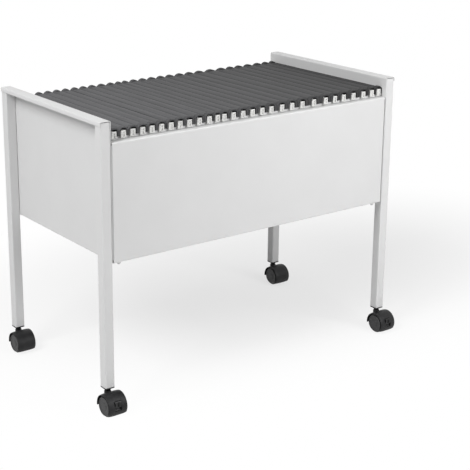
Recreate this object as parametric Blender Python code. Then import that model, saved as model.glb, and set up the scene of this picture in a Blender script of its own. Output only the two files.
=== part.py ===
"""Hanging file trolley: a sheet-steel well on four square-tube legs and twin-wheel casters.

Five linked sections of hanging files rest their hooks on the upturned rail lips of the two long panels.
Metres, +Z up, X along the long side, the front towards -Y, and the origin on the floor under the middle
of everything. Every size is a named value below; places are worked out from them.
"""
import math

import bmesh
import bpy
from mathutils import Matrix, Vector

MM = 0.001

# Overall sizes
FRAME_LENGTH = 775 * MM
FRAME_DEPTH = 412 * MM
OVERALL_HEIGHT = 612 * MM
LEG_BOTTOM = 57 * MM

# Gaps: between neighbours that touch, and the overrun of every cut
FIT = 0.3 * MM
OVERRUN = 2 * MM

# Square legs
TUBE = 22 * MM
TUBE_WALL = 1.5 * MM
TUBE_CORNER = 2.5 * MM

# Folded sheet
SHEET = 1.2 * MM
FOLD_RADIUS = 1.8 * MM
SHADOW_GAP = 1.2 * MM
CAP_DROP = 9 * MM
PANEL_DROP = 43.5 * MM
PANEL_HEIGHT = 247 * MM
PANEL_SIDE_GAP = 1.2 * MM
TOP_FLANGE = 20 * MM
RAIL_LIP = 5 * MM
BOTTOM_FLANGE = 22 * MM
END_FLANGE = 15 * MM
END_RETURN = 28 * MM
RETURN_NOTCH = 1.5 * MM
FLANGE_RELIEF = 4 * MM

# Screws that hold the long panels' end flanges to the legs
SCREW_RADIUS = 2.4 * MM
SCREW_HEAD_RADIUS = 4.5 * MM
SCREW_HEAD = 2.6 * MM
SCREW_INSET = 9 * MM
SCREW_END_MARGIN = 45 * MM
SCREW_REACH = 5 * MM

# Screws and dome nuts under the four corners of the well
CORNER_SCREW_RADIUS = 2.5 * MM
CORNER_HEAD_RADIUS = 4.75 * MM
CORNER_HEAD = 2.7 * MM
CORNER_INSET_X = 18 * MM
CORNER_INSET_Y = 10.5 * MM
NUT_ACROSS_CORNERS = 9.2 * MM
NUT_HEX = 3.6 * MM
NUT_CROWN_RADIUS = 3.7 * MM
NUT_BORE_DEPTH = 5 * MM

# Black plug in the foot of each leg, and the caster stem that it holds
PLUG_FLANGE = 2.4 * MM
PLUG_DEPTH = 24 * MM
STEM_RADIUS = 4 * MM
STEM_COLLAR_RADIUS = 5.8 * MM
STEM_UPPER = 20 * MM
STEM_TIP = 1 * MM

# Twin-wheel caster
WHEEL_RADIUS = 22.5 * MM
WHEEL_WIDTH = 12.4 * MM
WHEEL_GAP = 16.6 * MM
WHEEL_TREAD_EDGE = 1.8 * MM
WHEEL_RIM = 3.4 * MM
WHEEL_DISH = 1.5 * MM
WHEEL_FACE_WALL = 2.4 * MM
AXLE_RADIUS = 3 * MM
TRAIL = 16.5 * MM
WEB_THICKNESS = 15 * MM
WEB_HUB = 8.5 * MM
HOOD_CLEARANCE = 0.9 * MM
HOOD_WALL = 2.4 * MM
HOOD_WIDTH = 43 * MM
HOOD_CROWN = 1.2 * MM
HOOD_EDGE = 3 * MM
HOOD_FRONT_ANGLE = math.radians(-10)
HOOD_REAR_ANGLE = math.radians(190)
BOSS_RADIUS = 7.4 * MM
BOSS_TOP_RADIUS = 6.6 * MM
BOSS_GAP = 6 * MM
BOSS_TAPER = 3 * MM
STEM_SOCKET = 22 * MM

# Rocking brake pedal of the front casters, placed from the wheel axle
PEDAL_AHEAD = 13 * MM
PEDAL_ABOVE = 8 * MM
PEDAL_PIN_RADIUS = 1.5 * MM
PEDAL_HUB = 3.8 * MM
PEDAL_CORE = 9.2 * MM
PEDAL_PAD_WIDTH = 14.4 * MM
PEDAL_PAD_OUTER = 12.6 * MM
PEDAL_PAD_INNER = 9.4 * MM
PEDAL_SLOT_WIDTH = 2.6 * MM
PEDAL_SLOT_DEPTH = 1.4 * MM
PEDAL_SCOOP_RADIUS = 11 * MM
PEDAL_SCOOP_DEPTH = 1.5 * MM
PEDAL_SIDE_PLAY = 0.5 * MM
PEDAL_UP = math.radians(36)
PEDAL_DOWN = math.radians(-32)
PEDAL_TRAVEL = math.radians(14)
PEDAL_EDGE_PLAY = math.radians(4)
HOOD_SCOOP_RADIUS = 60 * MM
HOOD_SCOOP_DEPTH = 1.5 * MM
HOOD_SCOOP_ANGLE = math.radians(24)

# Hanging files: hanger bars with plastic end hooks, top strips over them, card pockets below
# The steps from hanger to hanger are shares of the row: within each section, then between sections
FILE_STEP_SHARES = (
    (22, 22, 23, 22, 23),
    (22, 23, 25, 25, 21),
    (24, 25, 25, 26, 25),
    (28, 29, 33, 34, 27),
    (29, 30, 26, 21),
)
SECTION_STEP_SHARES = (23, 17, 29, 26)
FIRST_HANGER_INSET = 14.75 * MM
LAST_HANGER_INSET = 9.75 * MM
HANGER_LENGTH = 387 * MM
HOOK_WIDTH = 11.5 * MM
HOOK_FOOT = 6.5 * MM
HOOK_TOP = 18.5 * MM
HOOK_SHANK = 7.6 * MM
HOOK_SHANK_DROP = 2 * MM
NOTCH_PLAY = 0.4 * MM
BAR_THICKNESS = 2.4 * MM
BAR_RISE = 3 * MM
STRIP_TOP = 24 * MM
STRIP_HEIGHT = 18 * MM
STRIP_WALL = 1.2 * MM
STRIP_CORNER = 3.5 * MM
STRIP_GAP = 0.8 * MM
STRIP_WEB_GAP = 0.45 * MM
STRIP_PLUG = 9 * MM
CHANNEL_HALF = 8.8 * MM
CHANNEL_TOP = 21.6 * MM
CHANNEL_CORNER = 6 * MM
STRIP_END_INSET = 0.6 * MM
CARD = 1 * MM
CARD_END_GAP = 0.8 * MM
POCKET_DEPTH = 226 * MM
POCKET_FOOT = 4 * MM

# How far pieces that are moulded or glued as one run into each other
MELD = 0.4 * MM

# Counts of facets
FOLD_STEPS = 3
TUBE_STEPS = 2
STRIP_STEPS = 2
WHEEL_SEGMENTS = 24
STEM_SEGMENTS = 12
HOOD_STEPS = 15
SCREW_SEGMENTS = 8
SCOOP_STEPS = 6

# Levels and half widths that follow from the sizes
LEG_X = (FRAME_LENGTH - TUBE) / 2
LEG_Y = (FRAME_DEPTH - TUBE) / 2
LEG_TOP = OVERALL_HEIGHT - SHEET - SHADOW_GAP
WEB_OUTER = FRAME_LENGTH / 2 - TUBE - FIT
WELL_HALF = WEB_OUTER - SHEET
PANEL_HALF = WELL_HALF - PANEL_SIDE_GAP
PANEL_TOP = OVERALL_HEIGHT - PANEL_DROP
PANEL_BOTTOM = PANEL_TOP - PANEL_HEIGHT
RETURN_LEVEL = PANEL_BOTTOM + SHEET + FIT + SHEET / 2
PLUG_BOTTOM = LEG_BOTTOM - FIT - PLUG_FLANGE
HOOD_INNER = WHEEL_RADIUS / math.cos(math.pi / WHEEL_SEGMENTS) + HOOD_CLEARANCE
HOOD_OUTER = HOOD_INNER + HOOD_WALL
BOSS_TOP = PLUG_BOTTOM - BOSS_GAP
LIP_OUTER = FRAME_DEPTH / 2 - TOP_FLANGE + SHEET
LIP_INNER = LIP_OUTER - SHEET
FRONT_REACH = LEG_Y + TRAIL + HOOD_OUTER
FRAME_CENTRE_Y = (FRONT_REACH - FRAME_DEPTH / 2) / 2

for old_object in list(bpy.data.objects):
    bpy.data.objects.remove(old_object, do_unlink=True)


def material(name, colour, roughness, metallic=0.0):
    """A Principled material with one colour."""
    made = bpy.data.materials.new(name)
    made.use_nodes = True
    shader = made.node_tree.nodes["Principled BSDF"]
    shader.inputs["Base Color"].default_value = (*colour, 1.0)
    shader.inputs["Roughness"].default_value = roughness
    shader.inputs["Metallic"].default_value = metallic
    made.diffuse_color = (*colour, 1.0)
    return made


GREY_COAT = material("grey powder coat", (0.62, 0.62, 0.62), 0.5)
BLACK_NYLON = material("black nylon", (0.03, 0.03, 0.032), 0.45)
BLACK_PLASTIC = material("black plastic", (0.02, 0.02, 0.021), 0.55)
STEEL = material("zinc plated steel", (0.55, 0.56, 0.58), 0.35, 1.0)
GREY_CARD = material("dark grey card", (0.12, 0.12, 0.12), 0.9)


def arc(centre, radius, start, end, steps):
    """Points on an arc about centre, both ends included."""
    turns = [start + (end - start) * step / steps for step in range(steps + 1)]
    return [(centre[0] + radius * math.cos(turn), centre[1] + radius * math.sin(turn)) for turn in turns]


def filleted(points, radius, steps, closed=False):
    """The path through points with each corner turned through an arc of the given radius."""
    count = len(points)
    path = []
    for index, point in enumerate(points):
        if not closed and index in (0, count - 1):
            path.append(point)
            continue
        here = Vector(point)
        back = (Vector(points[index - 1]) - here).normalized()
        ahead = (Vector(points[(index + 1) % count]) - here).normalized()
        half = math.acos(max(-1.0, min(1.0, back.dot(ahead)))) / 2
        if half > math.radians(89):
            path.append(point)
            continue
        centre = here + (back + ahead).normalized() * (radius / math.sin(half))
        first = here + back * (radius / math.tan(half)) - centre
        last = here + ahead * (radius / math.tan(half)) - centre
        sweep = first.angle_signed(last)
        start = math.atan2(first.y, first.x)
        path.extend(arc(centre, radius, start, start - sweep, steps))
    return path


def rounded_rectangle(width, depth, radius, steps):
    """A rectangle about the origin with rounded corners."""
    half = width / 2
    corners = [(-half, -depth / 2), (half, -depth / 2), (half, depth / 2), (-half, depth / 2)]
    return filleted(corners, radius, steps, closed=True)


def along_x(across, up, station):
    """A point of a section in the YZ plane, at a place along X."""
    return Vector((station, across, up))


def along_y(across, up, station):
    """A point of a section in the XZ plane, at a place along Y."""
    return Vector((across, station, up))


def along_z(across, up, station):
    """A point of a section in the XY plane, at a height."""
    return Vector((across, up, station))


def add_prism(bm, outline, place, start, end):
    """A closed outline carried from start to end, with both ends closed."""
    rings = [[bm.verts.new(place(a, b, station)) for a, b in outline] for station in (start, end)]
    count = len(outline)
    for index in range(count):
        after = (index + 1) % count
        bm.faces.new((rings[0][index], rings[0][after], rings[1][after], rings[1][index]))
    bm.faces.new(rings[0][::-1])
    bm.faces.new(rings[1])


def add_tube(bm, outer, inner, start, end):
    """A hollow section between two outlines of equal count, open at both ends."""
    edges = ((outer, start), (outer, end), (inner, start), (inner, end))
    rings = [[bm.verts.new(along_z(a, b, z)) for a, b in outline] for outline, z in edges]
    count = len(outer)
    for first, second in ((0, 1), (1, 3), (3, 2), (2, 0)):
        for index in range(count):
            after = (index + 1) % count
            near, far = rings[first], rings[second]
            bm.faces.new((near[index], near[after], far[after], far[index]))


def add_turned(bm, profile, segments, frame):
    """A closed profile of (along, radius) points turned round the frame's Z axis; a zero radius is a pole."""
    rings = []
    for along, radius in profile:
        if radius == 0:
            rings.append([bm.verts.new(frame @ Vector((0, 0, along)))])
            continue
        ring = []
        for segment in range(segments):
            turn = math.pi * (2 * segment + 1) / segments
            point = Vector((radius * math.cos(turn), radius * math.sin(turn), along))
            ring.append(bm.verts.new(frame @ point))
        rings.append(ring)
    for first, second in zip(rings, rings[1:] + rings[:1]):
        if len(first) == 1 and len(second) == 1:
            continue
        for index in range(segments):
            after = (index + 1) % segments
            if len(first) == 1:
                bm.faces.new((first[0], second[after], second[index]))
            elif len(second) == 1:
                bm.faces.new((first[index], first[after], second[0]))
            else:
                bm.faces.new((first[index], first[after], second[after], second[index]))


def add_cylinder(bm, radius, start, end, segments, frame):
    """A closed cylinder along the frame's Z axis."""
    add_turned(bm, [(start, 0), (start, radius), (end, radius), (end, 0)], segments, frame)


def mesh_of(bm, name, smooth_degrees=35):
    """The closed mesh of bm, its faces turned outwards, its round surfaces shaded smooth."""
    bmesh.ops.recalc_face_normals(bm, faces=bm.faces)
    mesh = bpy.data.meshes.new(name)
    bm.to_mesh(mesh)
    bm.free()
    mesh.shade_smooth()
    mesh.set_sharp_from_angle(angle=math.radians(smooth_degrees))
    return mesh


def empty(name, location, parent=None):
    """An axis to hang pieces on."""
    made = bpy.data.objects.new(name, None)
    bpy.context.scene.collection.objects.link(made)
    made.parent = parent
    made.location = location
    return made


def piece(name, mesh, finish, parent=None, location=(0, 0, 0)):
    """One named object of the trolley."""
    made = bpy.data.objects.new(name, mesh)
    bpy.context.scene.collection.objects.link(made)
    made.parent = parent
    made.location = location
    if not mesh.materials:
        mesh.materials.append(finish)
    return made


def guide(name, bm, parent=None):
    """A shape that only cuts or joins other pieces."""
    made = piece(name, mesh_of(bm, name), STEEL, parent)
    made.hide_render = True
    made.display_type = "WIRE"
    return made


def combine(target, other, operation):
    """A live Boolean of target with another shape."""
    boolean = target.modifiers.new(other.name, "BOOLEAN")
    boolean.operation = operation
    boolean.object = other


def thicken(target):
    """Sheet thickness, half to each side of the modelled surface."""
    solid = target.modifiers.new("sheet thickness", "SOLIDIFY")
    solid.thickness = SHEET
    solid.offset = 0
    solid.use_even_offset = True
    solid.use_quality_normals = True


def settled_mesh(base, others, name):
    """The mesh of base with its Booleans carried out; base and the others are removed."""
    bpy.context.view_layer.update()
    seen = base.evaluated_get(bpy.context.evaluated_depsgraph_get())
    mesh = bpy.data.meshes.new_from_object(seen)
    mesh.name = name
    for spent in [base, *others]:
        bpy.data.objects.remove(spent, do_unlink=True)
    return mesh


def sheet_grid(path, stations, place):
    """An open sheet: the path carried to each station."""
    bm = bmesh.new()
    rows = [[bm.verts.new(place(a, b, station)) for a, b in path] for station in stations]
    for near, far in zip(rows, rows[1:]):
        for index in range(len(path) - 1):
            bm.faces.new((near[index], near[index + 1], far[index + 1], far[index]))
    return bm


def fold_out(bm, chosen, shift):
    """A flange folded from the open edges that chosen picks, as wide as shift."""
    edges = [edge for edge in bm.edges if edge.is_boundary and all(chosen(vert.co) for vert in edge.verts)]
    grown = bmesh.ops.extrude_edge_only(bm, edges=edges)["geom"]
    verts = [item for item in grown if isinstance(item, bmesh.types.BMVert)]
    bmesh.ops.translate(bm, verts=verts, vec=shift)


def file_places():
    """The X place of every hanger, section by section, filling the well from end to end."""
    run = 2 * WELL_HALF - FIRST_HANGER_INSET - LAST_HANGER_INSET
    unit = run / (sum(map(sum, FILE_STEP_SHARES)) + sum(SECTION_STEP_SHARES))
    x = -WELL_HALF + FIRST_HANGER_INSET
    sections = []
    for steps, step_after in zip(FILE_STEP_SHARES, (*SECTION_STEP_SHARES, 0)):
        places = [x]
        for share in steps:
            places.append(places[-1] + unit * share)
        sections.append(places)
        x = places[-1] + unit * step_after
    return sections


TROLLEY = empty("trolley_axis", (0, FRAME_CENTRE_Y, 0))
CORNERS = (("front_left", -1, -1), ("front_right", 1, -1), ("rear_left", -1, 1), ("rear_right", 1, 1))


def panel_screw_frames():
    """Each panel screw's name and frame: its axis runs outwards from the well into a leg."""
    frames = {}
    levels = (("lower", PANEL_BOTTOM + SCREW_END_MARGIN), ("upper", PANEL_TOP - SCREW_END_MARGIN))
    for name, side, end in CORNERS:
        turn = Matrix.Rotation(side * math.pi / 2, 4, "Y")
        for which, level in levels:
            place = Matrix.Translation((0, end * (FRAME_DEPTH / 2 - SCREW_INSET), level))
            frames[f"panel_screw_{name}_{which}"] = place @ turn
    return frames


def corner_places():
    """Each corner's name and the place of the screw that runs up through its two bottom flanges."""
    x = PANEL_HALF - CORNER_INSET_X
    y = FRAME_DEPTH / 2 - CORNER_INSET_Y
    return {name: (side * x, end * y, 0) for name, side, end in CORNERS}


def make_hole_guides():
    """The clearance holes of both kinds of screw."""
    bm = bmesh.new()
    inside = PANEL_HALF - SHEET - OVERRUN
    outside = WEB_OUTER + FIT + TUBE_WALL + OVERRUN
    for frame in panel_screw_frames().values():
        add_cylinder(bm, SCREW_RADIUS + FIT, inside, outside, SCREW_SEGMENTS, frame)
    panel_holes = guide("panel_screw_holes", bm, TROLLEY)
    bm = bmesh.new()
    top = RETURN_LEVEL + SHEET / 2 + OVERRUN
    for place in corner_places().values():
        frame = Matrix.Translation(place)
        add_cylinder(bm, CORNER_SCREW_RADIUS + FIT, PANEL_BOTTOM - OVERRUN, top, SCREW_SEGMENTS, frame)
    return panel_holes, guide("corner_screw_holes", bm, TROLLEY)


def make_legs(panel_holes):
    """Four square tubes, open at both ends."""
    outer = rounded_rectangle(TUBE, TUBE, TUBE_CORNER, TUBE_STEPS)
    bore = TUBE - 2 * TUBE_WALL
    inner = rounded_rectangle(bore, bore, TUBE_CORNER - TUBE_WALL, TUBE_STEPS)
    for name, side, end in CORNERS:
        bm = bmesh.new()
        add_tube(bm, outer, inner, LEG_BOTTOM, LEG_TOP)
        place = (side * LEG_X, end * LEG_Y, 0)
        leg = piece(f"leg_{name}", mesh_of(bm, f"leg_{name}"), GREY_COAT, TROLLEY, place)
        combine(leg, panel_holes, "DIFFERENCE")


def make_end_panels(panel_holes, corner_holes):
    """Two folded end sheets: a web inside the legs, a cap over their tops, and a return at the bottom."""
    web = WEB_OUTER - SHEET / 2
    cap = OVERALL_HEIGHT - SHEET / 2
    lip = FRAME_LENGTH / 2 + FIT + SHEET / 2
    half = FRAME_DEPTH / 2
    notch = half - SHEET - FIT - RETURN_NOTCH
    for name, side in (("left", -1), ("right", 1)):
        corners = [(web, RETURN_LEVEL), (web, cap), (lip, cap), (lip, OVERALL_HEIGHT - CAP_DROP)]
        path = filleted([(side * x, z) for x, z in corners], FOLD_RADIUS + SHEET / 2, FOLD_STEPS)
        bm = sheet_grid(path, (-half, -notch, notch, half), along_y)
        level = RETURN_LEVEL + SHEET / 2
        fold_out(bm, lambda at: at.z < level and abs(at.y) < notch + FIT, (-side * END_RETURN, 0, 0))
        panel = piece(f"end_panel_{name}", mesh_of(bm, f"end_panel_{name}"), GREY_COAT, TROLLEY)
        thicken(panel)
        combine(panel, panel_holes, "DIFFERENCE")
        combine(panel, corner_holes, "DIFFERENCE")


def make_long_panels(panel_holes, corner_holes):
    """Front and rear sheets: a face, a top flange with its upturned rail lip, and bottom and end flanges."""
    mid = SHEET / 2
    low = RETURN_LEVEL + SHEET / 2 + FLANGE_RELIEF
    high = PANEL_TOP - FLANGE_RELIEF - FOLD_RADIUS
    shape = [(BOTTOM_FLANGE, PANEL_BOTTOM + mid), (mid, PANEL_BOTTOM + mid), (mid, low), (mid, high)]
    shape += [(mid, PANEL_TOP - mid), (TOP_FLANGE - mid, PANEL_TOP - mid)]
    shape += [(TOP_FLANGE - mid, PANEL_TOP + RAIL_LIP)]
    shape = filleted(shape, FOLD_RADIUS + mid, FOLD_STEPS)
    for name, end in (("front", -1), ("rear", 1)):
        path = [(end * (FRAME_DEPTH / 2 - inward), z) for inward, z in shape]
        bm = sheet_grid(path, (-PANEL_HALF + mid, PANEL_HALF - mid), along_x)
        face = FRAME_DEPTH / 2 - SHEET
        fold_out(
            bm,
            lambda at: abs(at.y) > face and low - FIT < at.z < high + FIT and abs(at.x) > PANEL_HALF - SHEET,
            (0, -end * (END_FLANGE - mid), 0),
        )
        panel = piece(f"{name}_panel", mesh_of(bm, f"{name}_panel"), GREY_COAT, TROLLEY)
        thicken(panel)
        combine(panel, panel_holes, "DIFFERENCE")
        combine(panel, corner_holes, "DIFFERENCE")


def make_panel_screws():
    """Pan-head screws that hold the long panels' end flanges to the legs."""
    seat = PANEL_HALF - SHEET - FIT
    tip = WEB_OUTER + FIT + TUBE_WALL + SCREW_REACH
    profile = [(seat - SCREW_HEAD, 0), (seat - SCREW_HEAD, SCREW_HEAD_RADIUS / 2), (seat, SCREW_HEAD_RADIUS)]
    profile += [(seat, SCREW_RADIUS), (tip - SCREW_RADIUS, SCREW_RADIUS), (tip, 0)]
    bm = bmesh.new()
    add_turned(bm, profile, SCREW_SEGMENTS, Matrix())
    screw = mesh_of(bm, "panel_screw")
    for name, frame in panel_screw_frames().items():
        piece(name, screw, STEEL, TROLLEY).matrix_local = frame


def dome_nut_mesh():
    """A hexagon with a domed crown below it and a blind bore from above."""
    top = PANEL_BOTTOM - FIT
    base = top - NUT_HEX
    bm = bmesh.new()
    add_cylinder(bm, NUT_ACROSS_CORNERS / 2, base, top, 6, Matrix())
    hexagon = piece("nut_hexagon", mesh_of(bm, "nut_hexagon"), GREY_COAT)
    profile = [(base + NUT_HEX / 2, 0), (base + NUT_HEX / 2, NUT_CROWN_RADIUS)]
    profile += [(base - up, out) for out, up in arc((0, 0), NUT_CROWN_RADIUS, 0, math.pi / 3, FOLD_STEPS - 1)]
    profile += [(base - NUT_CROWN_RADIUS, 0)]
    bm = bmesh.new()
    add_turned(bm, profile, SCREW_SEGMENTS, Matrix())
    crown = guide("nut_crown", bm)
    bm = bmesh.new()
    add_cylinder(bm, CORNER_SCREW_RADIUS + FIT, top - NUT_BORE_DEPTH, top + OVERRUN, SCREW_SEGMENTS, Matrix())
    bore = guide("nut_bore", bm)
    combine(hexagon, crown, "UNION")
    combine(hexagon, bore, "DIFFERENCE")
    return settled_mesh(hexagon, (crown, bore), "dome_nut")


def make_corner_screws():
    """Screws down through both bottom flanges at the well's corners, with dome nuts under them."""
    seat = RETURN_LEVEL + SHEET / 2 + FIT
    tip = PANEL_BOTTOM - NUT_BORE_DEPTH
    head = seat + CORNER_HEAD
    profile = [(head, 0), (head, CORNER_HEAD_RADIUS / 2), (seat, CORNER_HEAD_RADIUS)]
    profile += [(seat, CORNER_SCREW_RADIUS), (tip, CORNER_SCREW_RADIUS), (tip, 0)]
    bm = bmesh.new()
    add_turned(bm, profile, SCREW_SEGMENTS, Matrix())
    screw = mesh_of(bm, "corner_screw")
    nut = dome_nut_mesh()
    for name, place in corner_places().items():
        piece(f"corner_screw_{name}", screw, STEEL, TROLLEY, place)
        piece(f"dome_nut_{name}", nut, GREY_COAT, TROLLEY, place)


def make_plugs_and_stems():
    """A plug pressed into the foot of each leg, and the turned stem that stands in it."""
    body = TUBE - 2 * TUBE_WALL - 2 * FIT
    plug_top = LEG_BOTTOM + PLUG_DEPTH
    stem_top = LEG_BOTTOM + STEM_UPPER
    collar_top = PLUG_BOTTOM - FIT
    collar_bottom = BOSS_TOP + FIT
    stem_bottom = BOSS_TOP - STEM_SOCKET + FIT
    bore = bmesh.new()
    add_cylinder(bore, STEM_RADIUS + FIT, PLUG_BOTTOM - OVERRUN, plug_top + OVERRUN, STEM_SEGMENTS, Matrix())
    flange = bmesh.new()
    outline = rounded_rectangle(TUBE, TUBE, TUBE_CORNER, TUBE_STEPS)
    add_prism(flange, outline, along_z, PLUG_BOTTOM, LEG_BOTTOM - FIT)
    square = bmesh.new()
    outline = rounded_rectangle(body, body, TUBE_CORNER - TUBE_WALL, TUBE_STEPS)
    add_prism(square, outline, along_z, PLUG_BOTTOM + PLUG_FLANGE / 2, plug_top)
    base = piece("plug_flange", mesh_of(flange, "plug_flange"), BLACK_NYLON)
    others = (guide("plug_body", square), guide("plug_bore", bore))
    combine(base, others[0], "UNION")
    combine(base, others[1], "DIFFERENCE")
    plug = settled_mesh(base, others, "leg_plug")

    bm = bmesh.new()
    profile = [(stem_bottom, 0), (stem_bottom, STEM_RADIUS - STEM_TIP), (stem_bottom + STEM_TIP, STEM_RADIUS)]
    profile += [(collar_bottom, STEM_RADIUS), (collar_bottom, STEM_COLLAR_RADIUS)]
    profile += [(collar_top, STEM_COLLAR_RADIUS), (collar_top, STEM_RADIUS)]
    profile += [(stem_top - STEM_TIP, STEM_RADIUS), (stem_top, STEM_RADIUS - STEM_TIP), (stem_top, 0)]
    add_turned(bm, profile, STEM_SEGMENTS, Matrix())
    stem = mesh_of(bm, "caster_stem")
    for name, side, end in CORNERS:
        place = (side * LEG_X, end * LEG_Y, 0)
        piece(f"leg_plug_{name}", plug, BLACK_NYLON, TROLLEY, place)
        piece(f"caster_stem_{name}", stem, BLACK_PLASTIC, TROLLEY, place)


def round_axle(ahead, above):
    """A place on the housing, measured forwards and upwards from the wheel axle."""
    return (-TRAIL - ahead, WHEEL_RADIUS + above)


def housing_mesh(braked):
    """A hood over both wheels, the web between them and the boss that turns on the stem."""
    half = HOOD_WIDTH / 2
    shell = [(-half, HOOD_INNER), (-half, HOOD_OUTER - HOOD_CROWN), (-half + HOOD_EDGE, HOOD_OUTER)]
    shell += [(half - HOOD_EDGE, HOOD_OUTER), (half, HOOD_OUTER - HOOD_CROWN), (half, HOOD_INNER)]
    bm = bmesh.new()
    rings = []
    for step in range(HOOD_STEPS + 1):
        turn = HOOD_FRONT_ANGLE + (HOOD_REAR_ANGLE - HOOD_FRONT_ANGLE) * step / HOOD_STEPS
        ring = []
        for x, radius in shell:
            y, z = round_axle(radius * math.cos(turn), radius * math.sin(turn))
            ring.append(bm.verts.new((x, y, z)))
        rings.append(ring)
    for near, far in zip(rings, rings[1:]):
        for index in range(len(shell)):
            after = (index + 1) % len(shell)
            bm.faces.new((near[index], near[after], far[after], far[index]))
    bm.faces.new(rings[0])
    bm.faces.new(rings[-1][::-1])
    hood = piece("hood", mesh_of(bm, "hood"), BLACK_NYLON)

    web_radius = HOOD_INNER + MELD
    outline = arc((0, 0), web_radius, HOOD_FRONT_ANGLE, HOOD_REAR_ANGLE, HOOD_STEPS)
    outline += arc((0, 0), WEB_HUB, math.radians(215), math.radians(325), FOLD_STEPS * 2)
    outline = [round_axle(ahead, above) for ahead, above in outline]
    bm = bmesh.new()
    add_prism(bm, outline, along_x, -WEB_THICKNESS / 2, WEB_THICKNESS / 2)
    web = guide("hood_web", bm)

    bm = bmesh.new()
    profile = [(BOSS_TOP - STEM_SOCKET - STEM_RADIUS, 0), (BOSS_TOP - STEM_SOCKET - STEM_RADIUS, BOSS_RADIUS)]
    profile += [(BOSS_TOP - BOSS_TAPER, BOSS_RADIUS), (BOSS_TOP, BOSS_TOP_RADIUS), (BOSS_TOP, 0)]
    add_turned(bm, profile, STEM_SEGMENTS, Matrix())
    boss = guide("hood_boss", bm)

    bm = bmesh.new()
    add_cylinder(bm, STEM_RADIUS + FIT, BOSS_TOP - STEM_SOCKET, BOSS_TOP + OVERRUN, STEM_SEGMENTS, Matrix())
    across = Matrix.Translation((0, *round_axle(0, 0))) @ Matrix.Rotation(math.pi / 2, 4, "Y")
    add_cylinder(bm, AXLE_RADIUS + FIT, -WEB_THICKNESS, WEB_THICKNESS, STEM_SEGMENTS, across)
    bores = guide("hood_bores", bm)

    combine(hood, web, "UNION")
    combine(hood, boss, "UNION")
    combine(hood, bores, "DIFFERENCE")
    others = [web, boss, bores]
    if braked:
        others += pedal_room(hood)
    return settled_mesh(hood, others, "housing_braked" if braked else "housing_plain")


def round_pivot(points):
    """Places given ahead of and above the pedal's pivot, as places on the housing."""
    return [round_axle(PEDAL_AHEAD + ahead, PEDAL_ABOVE + above) for ahead, above in points]


def pedal_room(hood):
    """Cut the pedal's slot between two cheeks, its window in the hood and its pin hole."""
    sweep = (PEDAL_DOWN - PEDAL_TRAVEL - PEDAL_EDGE_PLAY, PEDAL_UP + PEDAL_EDGE_PLAY)
    inner = PEDAL_PAD_INNER - PEDAL_SIDE_PLAY
    reach = HOOD_OUTER
    window = arc((0, 0), reach, sweep[0], sweep[1], FOLD_STEPS * 2)
    window += arc((0, 0), inner, sweep[1], sweep[0], FOLD_STEPS * 2)
    bm = bmesh.new()
    half = PEDAL_PAD_WIDTH / 2 + PEDAL_SIDE_PLAY
    add_prism(bm, round_pivot(window), along_x, -half, half)
    opening = guide("pedal_window", bm)

    bm = bmesh.new()
    pivot = Matrix.Translation((0, *round_pivot([(0, 0)])[0])) @ Matrix.Rotation(math.pi / 2, 4, "Y")
    half = PEDAL_CORE / 2 + PEDAL_SIDE_PLAY
    add_cylinder(bm, inner + PEDAL_SIDE_PLAY / 2, -half, half, WHEEL_SEGMENTS, pivot)
    slot = guide("pedal_slot", bm)

    bm = bmesh.new()
    add_cylinder(bm, PEDAL_PIN_RADIUS + FIT, -WEB_THICKNESS, WEB_THICKNESS, SCREW_SEGMENTS, pivot)
    pin_hole = guide("pedal_pin_hole", bm)

    bm = bmesh.new()
    width = math.acos(1 - HOOD_SCOOP_DEPTH / HOOD_SCOOP_RADIUS)
    low, high = -math.pi / 2 - width, -math.pi / 2 + width
    bowl = arc((0, HOOD_SCOOP_RADIUS), HOOD_SCOOP_RADIUS, low, high, SCOOP_STEPS)
    bowl = [*bowl, (bowl[-1][0] + OVERRUN, HOOD_OUTER), (bowl[0][0] - OVERRUN, HOOD_OUTER)]
    add_prism(bm, bowl, along_z, -HOOD_OUTER, HOOD_OUTER)
    tilt = Matrix.Rotation(math.pi - HOOD_SCOOP_ANGLE, 4, "X")
    out = Matrix.Translation((0, HOOD_OUTER - HOOD_SCOOP_DEPTH, 0))
    bmesh.ops.transform(bm, matrix=Matrix.Translation((0, *round_axle(0, 0))) @ tilt @ out, verts=bm.verts)
    scoop = guide("hood_scoop", bm)
    cutters = [opening, slot, pin_hole, scoop]
    for cutter in cutters:
        combine(hood, cutter, "DIFFERENCE")
    return cutters


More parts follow.
